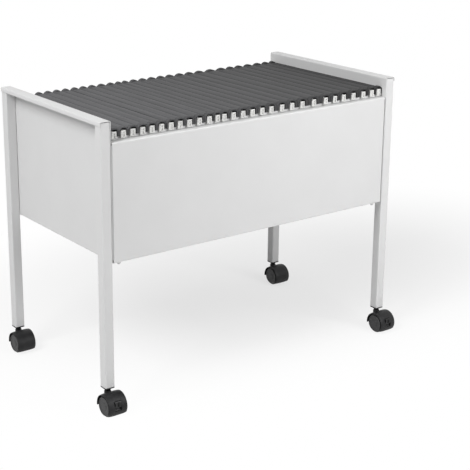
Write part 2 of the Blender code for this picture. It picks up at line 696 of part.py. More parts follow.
def pedal_mesh():
    """The rocking pedal about its own pivot: a scooped pad on a core with its pin hole."""
    pad = arc((0, 0), PEDAL_PAD_OUTER, PEDAL_DOWN, PEDAL_UP, FOLD_STEPS * 2)
    pad += arc((0, 0), PEDAL_PAD_INNER, PEDAL_UP, PEDAL_DOWN, FOLD_STEPS * 2)
    bm = bmesh.new()
    half = PEDAL_PAD_WIDTH / 2
    add_prism(bm, [(-ahead, above) for ahead, above in pad], along_x, -half, half)
    base = piece("pedal_pad", mesh_of(bm, "pedal_pad"), BLACK_PLASTIC)

    rest = (PEDAL_PAD_INNER + PEDAL_PAD_OUTER) / 2
    core = arc((0, 0), rest, PEDAL_DOWN / 2, PEDAL_UP / 2, FOLD_STEPS)
    core += arc((0, 0), PEDAL_HUB, math.radians(100), math.radians(260), FOLD_STEPS * 2)
    bm = bmesh.new()
    half = PEDAL_CORE / 2
    add_prism(bm, [(-ahead, above) for ahead, above in core], along_x, -half, half)
    arm = guide("pedal_core", bm)

    bm = bmesh.new()
    across = Matrix.Rotation(math.pi / 2, 4, "Y")
    add_cylinder(bm, PEDAL_PIN_RADIUS + FIT, -PEDAL_CORE, PEDAL_CORE, SCREW_SEGMENTS, across)
    away = PEDAL_PAD_OUTER + PEDAL_SCOOP_RADIUS - PEDAL_SCOOP_DEPTH
    upright = Matrix.Translation((0, -away, 0))
    add_cylinder(bm, PEDAL_SCOOP_RADIUS, -PEDAL_PAD_OUTER, PEDAL_PAD_OUTER, WHEEL_SEGMENTS, upright)
    scoop = guide("pedal_cuts", bm)

    bm = bmesh.new()
    half = PEDAL_SLOT_WIDTH / 2
    depth = PEDAL_PAD_OUTER - PEDAL_SCOOP_DEPTH - PEDAL_SLOT_DEPTH
    slot_outline = [(-PEDAL_PAD_OUTER - OVERRUN, -PEDAL_HUB), (-PEDAL_PAD_OUTER - OVERRUN, PEDAL_HUB)]
    slot_outline += [(-depth, PEDAL_HUB), (-depth, -PEDAL_HUB)]
    add_prism(bm, slot_outline, along_x, -half, half)
    slot = guide("pedal_front_slot", bm)
    combine(base, arm, "UNION")
    combine(base, scoop, "DIFFERENCE")
    combine(base, slot, "DIFFERENCE")
    return settled_mesh(base, (arm, scoop, slot), "brake_pedal")


def wheel_mesh(side):
    """A wheel turned about X from its inner face outwards, with a blind bore for the axle."""
    radius = WHEEL_RADIUS / math.cos(math.pi / WHEEL_SEGMENTS)
    bore = AXLE_RADIUS + FIT
    face = WHEEL_WIDTH - WHEEL_DISH
    profile = [(0, bore), (0, radius - WHEEL_TREAD_EDGE), (WHEEL_TREAD_EDGE, radius)]
    profile += [(WHEEL_WIDTH - 2 * WHEEL_TREAD_EDGE, radius), (WHEEL_WIDTH, radius - WHEEL_RIM)]
    inner_end = face - WHEEL_FACE_WALL
    profile += [(face, radius - 2 * WHEEL_RIM), (face, 0), (inner_end, 0), (inner_end, bore)]
    bm = bmesh.new()
    across = Matrix.Rotation(side * math.pi / 2, 4, "Y")
    add_turned(bm, profile, WHEEL_SEGMENTS, across)
    return mesh_of(bm, "wheel_right" if side > 0 else "wheel_left")


def axle_mesh():
    """The steel pin that carries both wheels."""
    reach = WHEEL_GAP / 2 + WHEEL_WIDTH - WHEEL_DISH - WHEEL_FACE_WALL - FIT
    bm = bmesh.new()
    add_cylinder(bm, AXLE_RADIUS, -reach, reach, STEM_SEGMENTS, Matrix.Rotation(math.pi / 2, 4, "Y"))
    return mesh_of(bm, "axle")


def pedal_pin_mesh():
    """The pin that the pedal rocks on."""
    reach = WEB_THICKNESS / 2 - FIT
    bm = bmesh.new()
    add_cylinder(bm, PEDAL_PIN_RADIUS, -reach, reach, SCREW_SEGMENTS, Matrix.Rotation(math.pi / 2, 4, "Y"))
    return mesh_of(bm, "pedal_pin")


def make_casters():
    """Four swivelling twin-wheel casters, all trailing forwards; the front two have brakes."""
    plain = housing_mesh(False)
    braked = housing_mesh(True)
    wheels = {-1: wheel_mesh(-1), 1: wheel_mesh(1)}
    axle = axle_mesh()
    pedal = pedal_mesh()
    pedal_pin = pedal_pin_mesh()
    pivot = round_pivot([(0, 0)])[0]
    for name, side, end in CORNERS:
        swivel = empty(f"swivel_axis_{name}", (side * LEG_X, end * LEG_Y, 0), TROLLEY)
        piece(f"caster_housing_{name}", braked if end < 0 else plain, BLACK_NYLON, swivel)
        piece(f"caster_axle_{name}", axle, STEEL, swivel, (0, -TRAIL, WHEEL_RADIUS))
        for which, outward in (("left", -1), ("right", 1)):
            place = (outward * WHEEL_GAP / 2, -TRAIL, WHEEL_RADIUS)
            piece(f"wheel_{name}_{which}", wheels[outward], BLACK_PLASTIC, swivel, place)
        if end < 0:
            piece(f"brake_pedal_{name}", pedal, BLACK_PLASTIC, swivel, (0, *pivot))
            piece(f"brake_pin_{name}", pedal_pin, STEEL, swivel, (0, *pivot))


def strip_reaches():
    """How far each top strip reaches left and right of its hanger, nearly up to its neighbours."""
    row = [x for places in file_places() for x in places]
    reach = [FIRST_HANGER_INSET - STRIP_WEB_GAP]
    reach += [(after - x - STRIP_GAP) / 2 for x, after in zip(row, row[1:])]
    reach += [LAST_HANGER_INSET - STRIP_WEB_GAP]
    return zip(reach, reach[1:])


def arch_outline(outer, inner, foot, corner, inner_corner):
    """An arch about a hanger, from its outer and inner reach to the left, to the right and upwards."""
    left, right, top = outer
    around = [(-left, foot), (-left, top), (right, top), (right, foot)]
    left, right, top = inner
    inside = [(right, foot), (right, top), (-left, top), (-left, foot)]
    return filleted(around, corner, STRIP_STEPS) + filleted(inside, inner_corner, STRIP_STEPS)


def strip_outline(left, right):
    """The folded section of a top strip."""
    outer = (left, right, STRIP_TOP)
    inner = [reach - STRIP_WALL for reach in outer]
    return arch_outline(outer, inner, STRIP_TOP - STRIP_HEIGHT, STRIP_CORNER, STRIP_CORNER - STRIP_WALL)


def plug_outline(left, right):
    """The plug in each end of a top strip: it leaves an arched channel for the hook."""
    outer = (left - MELD, right - MELD, STRIP_TOP - MELD)
    widest = [min(CHANNEL_HALF, reach - STRIP_WALL) for reach in (left, right)]
    foot = STRIP_TOP - STRIP_HEIGHT + MELD
    return arch_outline(outer, (*widest, CHANNEL_TOP), foot, STRIP_CORNER - MELD, CHANNEL_CORNER)


def hanger_mesh():
    """One hanger: a flat bar on edge, and a hook that sits on the rail lip at each end."""
    tip = HANGER_LENGTH / 2
    notch_top = RAIL_LIP + FIT
    shank = LIP_INNER - NOTCH_PLAY
    outer = LIP_OUTER + NOTCH_PLAY
    root = shank - HOOK_SHANK
    hook = [(root, BAR_RISE), (root, HOOK_TOP), (tip, HOOK_TOP), (tip, HOOK_FOOT), (outer, HOOK_FOOT)]
    hook += [(outer, notch_top), (shank, notch_top), (shank, -HOOK_SHANK_DROP)]
    hook += [(shank - HOOK_SHANK / 2, -HOOK_SHANK_DROP)]
    reach = shank - HOOK_SHANK / 2
    half = BAR_THICKNESS / 2
    bm = bmesh.new()
    low, high = BAR_RISE + MELD, STRIP_TOP - STRIP_WALL + MELD
    bar = [(-half, low), (half, low), (half, high), (-half, high)]
    add_prism(bm, bar, along_y, -reach, reach)
    base = piece("hanger_bar", mesh_of(bm, "hanger_bar"), GREY_CARD)
    others = []
    for end in (-1, 1):
        bm = bmesh.new()
        add_prism(bm, [(end * along, up) for along, up in hook], along_x, -HOOK_WIDTH / 2, HOOK_WIDTH / 2)
        others.append(guide("hanger_hook", bm))
    for other in others:
        combine(base, other, "UNION")
    return settled_mesh(base, others, "hanger")


def pocket_outline(places):
    """The card of one section: walls below the hangers, linked at their feet by the pockets' bases."""
    top = BAR_RISE + 2 * MELD
    floor = -POCKET_DEPTH
    inside = []
    outside = []
    last = len(places) - 1
    for index, x in enumerate(places):
        left = CARD / 2 if index == 0 else CARD
        right = CARD / 2 if index == last else CARD
        if index > 0:
            inside += [(x - left - POCKET_FOOT, floor + CARD), (x - left, floor + CARD + POCKET_FOOT)]
            outside += [(x - POCKET_FOOT, floor)]
        inside += [(x - left, top), (x + right, top)]
        if index == 0:
            outside += [(x - left, floor + POCKET_FOOT)]
        elif index < last:
            outside += [(x, floor + POCKET_FOOT)]
        else:
            outside += [(x + right, floor + POCKET_FOOT)]
        if index < last:
            inside += [(x + right, floor + CARD + POCKET_FOOT), (x + right + POCKET_FOOT, floor + CARD)]
            outside += [(x + POCKET_FOOT, floor)]
    return inside + outside[::-1]


def make_file_sections():
    """Five sections of linked pockets under their hangers, each on its own lifting axis at the rails."""
    hanger = hanger_mesh()
    reaches = strip_reaches()
    strip_half = HANGER_LENGTH / 2 - STRIP_END_INSET
    card_half = LIP_INNER - NOTCH_PLAY - HOOK_SHANK - CARD_END_GAP
    for number, places in enumerate(file_places(), 1):
        middle = (places[0] + places[-1]) / 2
        offsets = [x - middle for x in places]
        axis = empty(f"section_axis_{number}", (middle, 0, PANEL_TOP), TROLLEY)
        bm = bmesh.new()
        over = bmesh.new()
        ends = bmesh.new()
        for x, reach in zip(offsets, reaches):
            before = len(bm.verts)
            bm.from_mesh(hanger)
            bm.verts.ensure_lookup_table()
            bmesh.ops.translate(bm, verts=bm.verts[before:], vec=(x, 0, 0))
            outline = [(x + across, up) for across, up in strip_outline(*reach)]
            add_prism(over, outline, along_y, -strip_half, strip_half)
            outline = [(x + across, up) for across, up in plug_outline(*reach)]
            add_prism(ends, outline, along_y, -strip_half + MELD, -strip_half + STRIP_PLUG)
            add_prism(ends, outline, along_y, strip_half - STRIP_PLUG, strip_half - MELD)
        hangers = guide(f"section_{number}_hangers", bm, axis)
        strips = guide(f"section_{number}_strips", over, axis)
        plugs = guide(f"section_{number}_plugs", ends, axis)
        bm = bmesh.new()
        add_prism(bm, pocket_outline(offsets), along_y, -card_half, card_half)
        name = f"file_section_{number}"
        section = piece(name, mesh_of(bm, name), GREY_CARD, axis)
        combine(section, hangers, "UNION")
        combine(section, strips, "UNION")
        combine(section, plugs, "UNION")


screw_holes, corner_holes = make_hole_guides()
make_legs(screw_holes)
make_end_panels(screw_holes, corner_holes)
make_long_panels(screw_holes, corner_holes)
make_panel_screws()
make_corner_screws()
make_plugs_and_stems()
make_casters()
make_file_sections()
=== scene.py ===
# %% [markdown]
# # A hanging file trolley, dressed for its photograph
#
# The object is a grey powder-coated steel frame on four black twin-wheel casters, with 29 hanging
# files in five linked sections on its rails. The solid model comes in first and stays fixed. It
# carries the joints, and each finer piece below is placed by its sizes and rides on one of its
# bodies. The pieces could also be modelled by hand, but then a joint's axis and a piece's hole
# would have to be matched by eye.

# %% The solid model comes in
import math

import bmesh
import bpy
import numpy as np
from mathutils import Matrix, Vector


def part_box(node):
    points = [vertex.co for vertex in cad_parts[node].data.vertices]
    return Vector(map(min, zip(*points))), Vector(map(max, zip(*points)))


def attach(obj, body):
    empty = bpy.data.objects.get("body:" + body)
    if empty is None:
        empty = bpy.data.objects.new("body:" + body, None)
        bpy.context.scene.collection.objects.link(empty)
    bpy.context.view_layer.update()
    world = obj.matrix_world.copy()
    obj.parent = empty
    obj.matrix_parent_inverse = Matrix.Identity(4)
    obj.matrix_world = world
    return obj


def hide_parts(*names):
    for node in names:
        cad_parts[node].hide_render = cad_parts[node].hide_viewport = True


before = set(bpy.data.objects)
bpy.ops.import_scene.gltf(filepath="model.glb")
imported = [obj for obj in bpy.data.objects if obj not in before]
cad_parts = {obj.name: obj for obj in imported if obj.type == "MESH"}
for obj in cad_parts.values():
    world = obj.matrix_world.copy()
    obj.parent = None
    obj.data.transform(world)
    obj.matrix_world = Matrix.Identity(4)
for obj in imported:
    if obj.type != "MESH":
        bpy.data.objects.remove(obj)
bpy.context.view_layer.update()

# %% [markdown]
# ## Sizes
#
# The pieces below repeat the solid model's sizes in metres. The legs' own places are measured from
# the loaded nodes, so the frame, the casters and the files all hang from the same four corners.

# %% The corners of the frame
MM = 0.001
CORNERS = {"front_left": (-1, -1), "front_right": (1, -1), "rear_left": (-1, 1), "rear_right": (1, 1)}


def middle_of(node):
    """The middle of a solid node's box."""
    low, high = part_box(node)
    return np.array((low + high) / 2)


LEG_AT = {name: middle_of(f"leg_{name}") * (1, 1, 0) for name in CORNERS}
CENTRE_Y = np.mean([place[1] for place in LEG_AT.values()])
print("the frame's middle stands", round(CENTRE_Y / MM, 2), "mm behind the origin")

# %% The frame's sizes
FRAME_LENGTH = 775 * MM
FRAME_DEPTH = 412 * MM
OVERALL_HEIGHT = 612 * MM
LEG_BOTTOM = 57 * MM
TUBE = 22 * MM
TUBE_WALL = 1.5 * MM
TUBE_CORNER = 2.5 * MM
SHEET = 1.2 * MM
FOLD_RADIUS = 1.8 * MM
FIT = 0.3 * MM               # between parts that touch
MELD = 0.4 * MM              # where two forms of one moulding overlap
PAINT_ROOM = 1.2 * MM        # between painted parts that are screwed together
PANEL_DROP = 43.5 * MM
PANEL_HEIGHT = 247 * MM
LEG_TOP = OVERALL_HEIGHT - SHEET - PAINT_ROOM
WEB_OUTER = FRAME_LENGTH / 2 - TUBE - FIT
WELL_HALF = WEB_OUTER - SHEET
PANEL_HALF = WELL_HALF - PAINT_ROOM
PANEL_TOP = OVERALL_HEIGHT - PANEL_DROP
PANEL_BOTTOM = PANEL_TOP - PANEL_HEIGHT
RETURN_LEVEL = PANEL_BOTTOM + SHEET * 1.5 + FIT
print("the long panels run from", round(PANEL_BOTTOM / MM, 1), "to", round(PANEL_TOP / MM, 1), "mm")

# %% [markdown]
# ## From numbers to meshes
#
# Nearly every piece here is one outline carried along a straight or round path, so a few helpers do
# for all of them: one rounds the corners of an outline, one carries it along, one turns it on a
# lathe, and one makes the object. Blender's own Extrude and Spin tools would do the same by hand,
# but outlines in numbers stay true to the sizes above. A form is a pair: its corner points, and
# lists of faces, where each list holds faces with equally many corners.

# %% Rounded outlines
FOLD_STEPS = 6


def together(*parts):
    """Points from their coordinates, or faces from their corners, along the last axis."""
    return np.stack(np.broadcast_arrays(*parts), axis=-1)


def rounded(corners, radius, steps=FOLD_STEPS, closed=True):
    """Corner points with an arc in each corner.

    With a and b the unit vectors from a corner to its neighbours and h half the angle between them,
    the arc's centre is corner + unit(a + b) * radius / sin h, and the arc starts and ends
    radius / tan h from the corner. A radius of 0 keeps the corner. An open outline keeps its ends.
    """
    corners = np.asarray(corners, float)
    radius = np.broadcast_to(np.asarray(radius, float), len(corners)).copy()
    if not closed:
        radius[[0, -1]] = 0
    back = np.roll(corners, 1, axis=0) - corners
    ahead = np.roll(corners, -1, axis=0) - corners
    back /= np.linalg.norm(back, axis=1)[:, None]
    ahead /= np.linalg.norm(ahead, axis=1)[:, None]
    half = np.arccos(np.clip((back * ahead).sum(axis=1), -1, 1)) / 2
    bisector = back + ahead
    length = np.linalg.norm(bisector, axis=1)[:, None]
    bisector = np.divide(bisector, length, out=np.zeros_like(bisector), where=length > 1e-9)
    centre = corners + bisector * (radius / np.sin(half))[:, None]
    first = corners + back * (radius / np.tan(half))[:, None] - centre
    last = corners + ahead * (radius / np.tan(half))[:, None] - centre
    start = np.arctan2(first[:, 1], first[:, 0])
    sweep = np.arctan2(last[:, 1], last[:, 0]) - start
    sweep = (sweep + math.pi) % (2 * math.pi) - math.pi
    turn = start[:, None] + sweep[:, None] * np.linspace(0, 1, steps + 1)
    arcs = centre[:, None] + radius[:, None, None] * together(np.cos(turn), np.sin(turn))
    path = arcs.reshape(-1, 2)
    return path if closed else path[steps:-steps]


def arc(radius, start, end, steps, centre=(0, 0)):
    """Points centre + radius * (cos t, sin t), with t in even steps from start to end, in degrees."""
    turn = np.radians(np.linspace(start, end, steps + 1))
    return np.asarray(centre) + radius * together(np.cos(turn), np.sin(turn))


print("a rounded square of", len(rounded([(-1, -1), (1, -1), (1, 1), (-1, 1)], 0.2)), "points")

# %% Forms: outlines carried along and turned
def quads(rows, columns, wrap=False):
    """The faces of a grid of corners counted row by row; wrap joins the last column to the first."""
    row, column = np.meshgrid(np.arange(rows - 1), np.arange(columns - (not wrap)), indexing="ij")
    right = (column + 1) % columns
    this, following = row * columns, (row + 1) * columns
    return together(this + column, this + right, following + right, following + column).reshape(-1, 4)


def shut(rows, columns):
    """A closed outline's grid: its faces all round, and one face over each end."""
    first = np.arange(columns)
    return [quads(rows, columns, wrap=True), first[None, ::-1], (first + (rows - 1) * columns)[None]]


def along_x(across, up, station):
    """An outline in the YZ plane at places along X."""
    return together(station, across, up)


def along_y(across, up, station):
    """An outline in the XZ plane at places along Y."""
    return together(across, station, up)


def along_z(across, up, station):
    """An outline in the XY plane at heights."""
    return together(across, up, station)


def carried(outline, stations, place, closed=True):
    """The outline's points at every station; a closed outline's two ends are shut by one face each."""
    outline, stations = np.asarray(outline), np.asarray(stations)
    points = place(outline[None, :, 0], outline[None, :, 1], stations[:, None]).reshape(-1, 3)
    rows, columns = len(stations), len(outline)
    return points, shut(rows, columns) if closed else [quads(rows, columns)]


def outwards(side, start=0.0):
    """For turned parts whose axis lies along X: they run out to one side, from a start."""
    return lambda across, up, along: along_x(across, up, side * (start + along))


def turned(profile, segments, place):
    """A profile of (along, radius) turned: at angle t, place(radius cos t, radius sin t, along)."""
    profile = np.asarray(profile)
    turn = 2 * math.pi * (np.arange(segments) + 0.5) / segments
    along, radius = profile[:, :1], profile[:, 1:]
    points = place(radius * np.cos(turn), radius * np.sin(turn), along).reshape(-1, 3)
    return points, [quads(len(profile), segments, wrap=True)]


def joined(*forms):
    """Several forms as one: the faces of each count on from the corners of those before it."""
    starts = np.cumsum([0] + [len(points) for points, _ in forms])
    faces = [face + start for start, (_, some) in zip(starts, forms) for face in some]
    return np.concatenate([points for points, _ in forms]), faces


def moved(form, shift):
    """A form shifted as a whole."""
    return form[0] + np.asarray(shift), form[1]


def repeated(form, shifts):
    """One copy of a form at each shift: every corner plus every shift."""
    points, faces = form
    shifts = np.asarray(shifts, float)
    places = (points[None] + shifts[:, None]).reshape(-1, 3)
    starts = len(points) * np.arange(len(shifts))[:, None, None]
    return places, [(face[None] + starts).reshape(-1, face.shape[1]) for face in faces]


print("a 3 by 4 grid has", len(quads(3, 4)), "faces")

# %% Objects from forms
WELD = 0.002 * MM
SHARP = math.radians(35)


def placed(name, data):
    """A new object that holds some data, linked to the scene."""
    made = bpy.data.objects.new(name, data)
    bpy.context.scene.collection.objects.link(made)
    return made


def piece(name, form, finish, body, slot, *nodes, edge=0.0, wall=0.0, offset=0.0):
    """One finished object on a body, in place of its nodes: doubles merged, faces turned outwards."""
    points, faces = form
    mesh = bpy.data.meshes.new(name)
    mesh.from_pydata(points.tolist(), [], [corners for face in faces for corners in face.tolist()])
    work = bmesh.new()
    work.from_mesh(mesh)
    bmesh.ops.remove_doubles(work, verts=work.verts, dist=WELD)
    bmesh.ops.recalc_face_normals(work, faces=work.faces)
    work.to_mesh(mesh)
    work.free()
    mesh.shade_smooth()
    mesh.materials.append(finish)
    made = placed(name, mesh)
    if wall:
        solid = made.modifiers.new("wall", "SOLIDIFY")
        solid.thickness, solid.offset = wall, offset
        solid.use_even_offset = solid.use_quality_normals = True
    if edge:
        bevel = made.modifiers.new("edge", "BEVEL")
        bevel.width, bevel.segments, bevel.angle_limit = edge, 2, SHARP
    made.modifiers.new("flat faces stay flat", "WEIGHTED_NORMAL").keep_sharp = True
    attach(made, body)
    if nodes:
        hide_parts(*nodes)


print("doubles closer than", WELD / MM, "mm are merged")

# %% [markdown]
# ## Finishes
#
# Each finish is a Principled shader with noise patterns for what the maker's process leaves on the
# surface. An image would tie a finish to one piece and one size. A pattern of nodes reads Object
# coordinates, which are metres here, so it needs no unwrapping and its scale is one over its size.
# One small helper adds a node with its settings and links.

# %% Colour and node helpers
def linear(colour):
    """An sRGB hex colour as linear values: ((c + 0.055) / 1.055) ** 2.4, or c / 12.92 when dark."""
    parts = np.array([int(colour[at:at + 2], 16) for at in (1, 3, 5)]) / 255
    values = np.where(parts <= 0.04045, parts / 12.92, ((parts + 0.055) / 1.055) ** 2.4)
    return (*values.tolist(), 1.0)


def add(tree, kind, sockets=(), **settings):
    """A new shader node: settings by name, and sockets by name or number, each a value or an output."""
    made = tree.nodes.new("ShaderNode" + kind)
    for name, value in settings.items():
        setattr(made, name, value)
    for name, value in dict(sockets).items():
        if isinstance(value, bpy.types.NodeSocket):
            tree.links.new(value, made.inputs[name])
        else:
            made.inputs[name].default_value = value
    return made


def started(name, sockets):
    """A new material with its shader's plain values: itself, its tree, shader and Object coordinates."""
    made = bpy.data.materials.new(name)
    made.use_nodes = True
    tree = made.node_tree
    shader = tree.nodes["Principled BSDF"]
    for socket, value in sockets.items():
        shader.inputs[socket].default_value = value
    return made, tree, shader, add(tree, "TexCoord").outputs["Object"]


def two_tone(tree, factor, dark, light):
    """A colour that runs from dark to light as a pattern's value runs from 0.3 to 0.7."""
    ramp = add(tree, "ValToRGB", {0: factor})
    first, last = ramp.color_ramp.elements
    first.position, first.color = 0.3, linear(dark)
    last.position, last.color = 0.7, linear(light)
    return ramp.outputs[0]


def surfaced(tree, shader, colour, grain, relief=None, gloss=None):
    """Joins a colour, and a grain's relief (strength, depth) and roughness (least, most), to a shader."""
    tree.links.new(colour, shader.inputs["Base Color"])
    if relief:
        bump = add(tree, "Bump", {"Height": grain, "Strength": relief[0], "Distance": relief[1]})
        tree.links.new(bump.outputs[0], shader.inputs["Normal"])
    if gloss:
        rough = add(tree, "MapRange", {"Value": grain, "To Min": gloss[0], "To Max": gloss[1]})
        tree.links.new(rough.outputs[0], shader.inputs["Roughness"])


print("mid grey #808080 is", round(linear("#808080")[0], 3), "in linear light")

# %% [markdown]
# ### Powder coat
#
# Polyester powder is sprayed on dry and melted at 200 degrees. It leaves an even satin skin with a
# faint orange peel about 1 mm across, so reflections are soft and slightly broken. The peel could be
# displaced geometry, but a bump of noise breaks the reflections alike and costs no faces. It is
# drawn 4 mm across, because 1 mm is less than a pixel of the render.

# %% Grey powder coat
PEEL = 4 * MM                 # really 1 mm
MOTTLE = 70 * MM


def powder_coat():
    """Light grey polyester powder coat, satin: a clear body colour under broad soft reflections."""
    made, tree, shader, place = started("light grey polyester powder coat",
                                        {"Roughness": 0.42, "IOR": 1.5})
    mottle = add(tree, "TexNoise", {"Vector": place, "Scale": 1 / MOTTLE, "Detail": 2.0})
    peel = add(tree, "TexNoise", {"Vector": place, "Scale": 1 / PEEL, "Detail": 3.0})
    surfaced(tree, shader, two_tone(tree, mottle.outputs[0], "#d4d4d4", "#d6d6d6"), peel.outputs[0],
             relief=(0.12, 0.05 * MM), gloss=(0.38, 0.46))
    return made


GREY_COAT = powder_coat()
print("made", GREY_COAT.name)

# %% [markdown]
# ### Moulded plastics
#
# The casters are glass-filled nylon, moulded in a spark-eroded tool that gives it a fine matte
# grain. The wheels are polypropylene with slightly more sheen, and the files' hooks are light grey
# ABS. A flat black would look like a hole in the picture, so one function gives them all a fine
# grain in relief and gloss, with a broad slow change of tone over it.

# %% Black and grey plastics
GRAIN = 1.6 * MM              # a spark-eroded grain is ten times finer, too fine to show
CLOUD = 12 * GRAIN


def moulded(name, dark, light, roughness, sheen=0.5):
    """A moulded plastic: gloss and relief follow the fine grain, and the tone drifts in broad clouds."""
    made, tree, shader, place = started(name, {"Roughness": roughness, "IOR": 1.53,
                                               "Specular IOR Level": sheen})
    grain = add(tree, "TexNoise", {"Vector": place, "Scale": 1 / GRAIN, "Detail": 4.0})
    cloud = add(tree, "TexNoise", {"Vector": place, "Scale": 1 / CLOUD, "Detail": 1.0})
    surfaced(tree, shader, two_tone(tree, cloud.outputs[0], dark, light), grain.outputs[0],
             relief=(0.35, 0.06 * MM), gloss=(roughness - 0.06, roughness + 0.06))
    return made


HOOD_NYLON = moulded("black glass-filled nylon, spark-eroded grain", "#1c1c1d", "#242425", 0.5,
                     sheen=0.22)
WHEEL_PLASTIC = moulded("black polypropylene, moulded wheel", "#262627", "#2e2e2f", 0.46, sheen=0.4)
PEDAL_NYLON = moulded("black nylon, moulded pedal", "#151516", "#1b1b1c", 0.42, sheen=0.3)
PLUG_PLASTIC = moulded("black polyethylene plug", "#121213", "#181819", 0.5, sheen=0.2)
HOOK_PLASTIC = moulded("light grey ABS hook", "#d9d9d7", "#e2e2e0", 0.4)
print("made", HOOD_NYLON.name, WHEEL_PLASTIC.name, HOOK_PLASTIC.name, sep="; ")

# %% [markdown]
# ### Extruded plastic
#
# The top strips are drawn out of a die as one long profile. The die leaves faint lines along their
# length, so the noise is stretched a hundred times that way. The row grows darker from left to right,
# more than the lamps alone make it, so its colour is painted lighter at the left and darker at the right.

# %% Extruded strips
DRAWN_LINE = 1.5 * MM         # a die's lines are finer than a pixel, so these are drawn coarser
DRAWN_RUN = 160 * MM
# painted light and shade: the strips' colour is scaled by 1.35 at the left of the row and by 0.3 at the
# right
SHADE_START_X, SHADE_END_X = -350 * MM, 300 * MM
PAINTED_LIGHT_LEFT, PAINTED_SHADE_RIGHT = 1.35, 0.3


def extruded():
    """Dark grey extruded PVC, nearly matte: faint drawn lines, and painted light and shade along the row.
    """
    made, tree, shader, place = started("dark grey extruded PVC strip",
                                        {"Roughness": 0.62, "IOR": 1.53, "Specular IOR Level": 0.35})
    drawn = add(tree, "Mapping", {"Vector": place,
                                  "Scale": (1 / DRAWN_LINE, 1 / DRAWN_RUN, 1 / DRAWN_LINE)})
    lines = add(tree, "TexNoise", {"Vector": drawn.outputs[0], "Scale": 1.0, "Detail": 3.0})
    # painted light and shade: the colour is scaled from lighter at the left end of the row to darker at
    # the right
    along = add(tree, "SeparateXYZ", {0: place})
    painted_shading = add(tree, "MapRange", {"Value": along.outputs["X"], "From Min": SHADE_START_X,
                                  "From Max": SHADE_END_X, "To Min": PAINTED_LIGHT_LEFT, "To Max": PAINTED_SHADE_RIGHT})
    lined = two_tone(tree, lines.outputs[0], "#2e2e2f", "#4c4c4e")
    tone = add(tree, "VectorMath", {0: lined, "Scale": painted_shading.outputs[0]}, operation="SCALE")
    surfaced(tree, shader, tone.outputs[0], lines.outputs[0], relief=(0.3, 0.05 * MM))
    return made


STRIP_PVC = extruded()
print("made", STRIP_PVC.name)

# %% [markdown]
# ### Card and steel
#
# The pockets are dyed-through kraft card: matte, with fibres that lie mostly one way, so their noise
# is stretched along the files. The screws, axles, pins and hanger bars are zinc plated, a bright
# slightly bluish metal. Its crystals are too fine for geometry, so they vary its tone and gloss.

# %% Card and zinc
FIBRE = 2 * MM                # fibres and crystals are far finer, and are drawn coarser to show
CRYSTAL = 0.8 * MM


def card():
    """Dark grey kraft card, dyed through: fully matte, with darker and lighter fibres."""
    made, tree, shader, place = started("dark grey kraft card", {"Roughness": 0.85, "IOR": 1.5})
    lay = add(tree, "Mapping", {"Vector": place, "Scale": (1 / FIBRE, 1 / (6 * FIBRE), 1 / FIBRE)})
    fibres = add(tree, "TexNoise", {"Vector": lay.outputs[0], "Scale": 1.0, "Detail": 5.0})
    surfaced(tree, shader, two_tone(tree, fibres.outputs[0], "#3d3d3e", "#48484a"), fibres.outputs[0],
             relief=(0.4, 0.08 * MM))
    return made


def zinc():
    """Zinc-plated steel, clear passivated: a bright metal whose gloss is broken by fine crystals."""
    made, tree, shader, place = started("zinc-plated steel", {"Roughness": 0.35, "Metallic": 1.0})
    crystals = add(tree, "TexNoise", {"Vector": place, "Scale": 1 / CRYSTAL, "Detail": 2.0})
    surfaced(tree, shader, two_tone(tree, crystals.outputs[0], "#b4b8bc", "#c6cace"),
             crystals.outputs[0], gloss=(0.28, 0.42))
    return made


GREY_CARD = card()
ZINC = zinc()
print("made", GREY_CARD.name, ZINC.name, sep="; ")

# %% [markdown]
# ## The frame
#
# The legs are square tube. The four sheets are each laser-cut flat and folded on a press brake. They
# could be thin boxes joined at their corners, but the light gives a fold away by its round edge. So
# each is modelled as the press brake makes it: the folded edge line is carried along the sheet, and
# Solidify then gives it the sheet's thickness.

# %% Square legs
square = np.array([(-1, -1), (1, -1), (1, 1), (-1, 1)]) * TUBE / 2
leg_points, leg_faces = carried(rounded(square, TUBE_CORNER), (LEG_BOTTOM, LEG_TOP), along_z)
leg = (leg_points, leg_faces[:1])        # open at both ends, as a sawn tube is
for name, place in LEG_AT.items():
    piece(f"leg_tube_{name}", moved(leg, place), GREY_COAT, "frame", "frame_coat", f"leg_{name}",
          wall=TUBE_WALL, offset=-1.0, edge=0.2 * MM)
print("legs", round((LEG_TOP - LEG_BOTTOM) / MM, 1), "mm long")

# %% Folded end sheets
END_RETURN = 28 * MM
CAP_DROP = 9 * MM
NOTCH_ROOM = 1.5 * MM
MID = SHEET / 2
BEND = FOLD_RADIUS + MID
HALF_DEPTH = FRAME_DEPTH / 2
NOTCH = HALF_DEPTH - SHEET - FIT - NOTCH_ROOM
web, cap, lip = WEB_OUTER - MID, OVERALL_HEIGHT - MID, FRAME_LENGTH / 2 + FIT + MID
end_path = rounded([(web - END_RETURN, RETURN_LEVEL), (web, RETURN_LEVEL), (web, cap), (lip, cap),
                    (lip, OVERALL_HEIGHT - CAP_DROP)], BEND, closed=False)
upright = end_path[FOLD_STEPS + 1:]
for name, side in (("left", -1), ("right", 1)):
    turn = np.array((side, 1))
    sheet = joined(carried(end_path * turn, (-NOTCH, NOTCH), along_y, closed=False),
                   carried(upright * turn, (-HALF_DEPTH, -NOTCH), along_y, closed=False),
                   carried(upright * turn, (NOTCH, HALF_DEPTH), along_y, closed=False))
    piece(f"end_sheet_{name}", moved(sheet, (0, CENTRE_Y, 0)), GREY_COAT, "frame", "frame_coat",
          f"end_panel_{name}", wall=SHEET, edge=0.3 * MM)
print("end sheets", round((cap - RETURN_LEVEL) / MM, 1), "mm high")

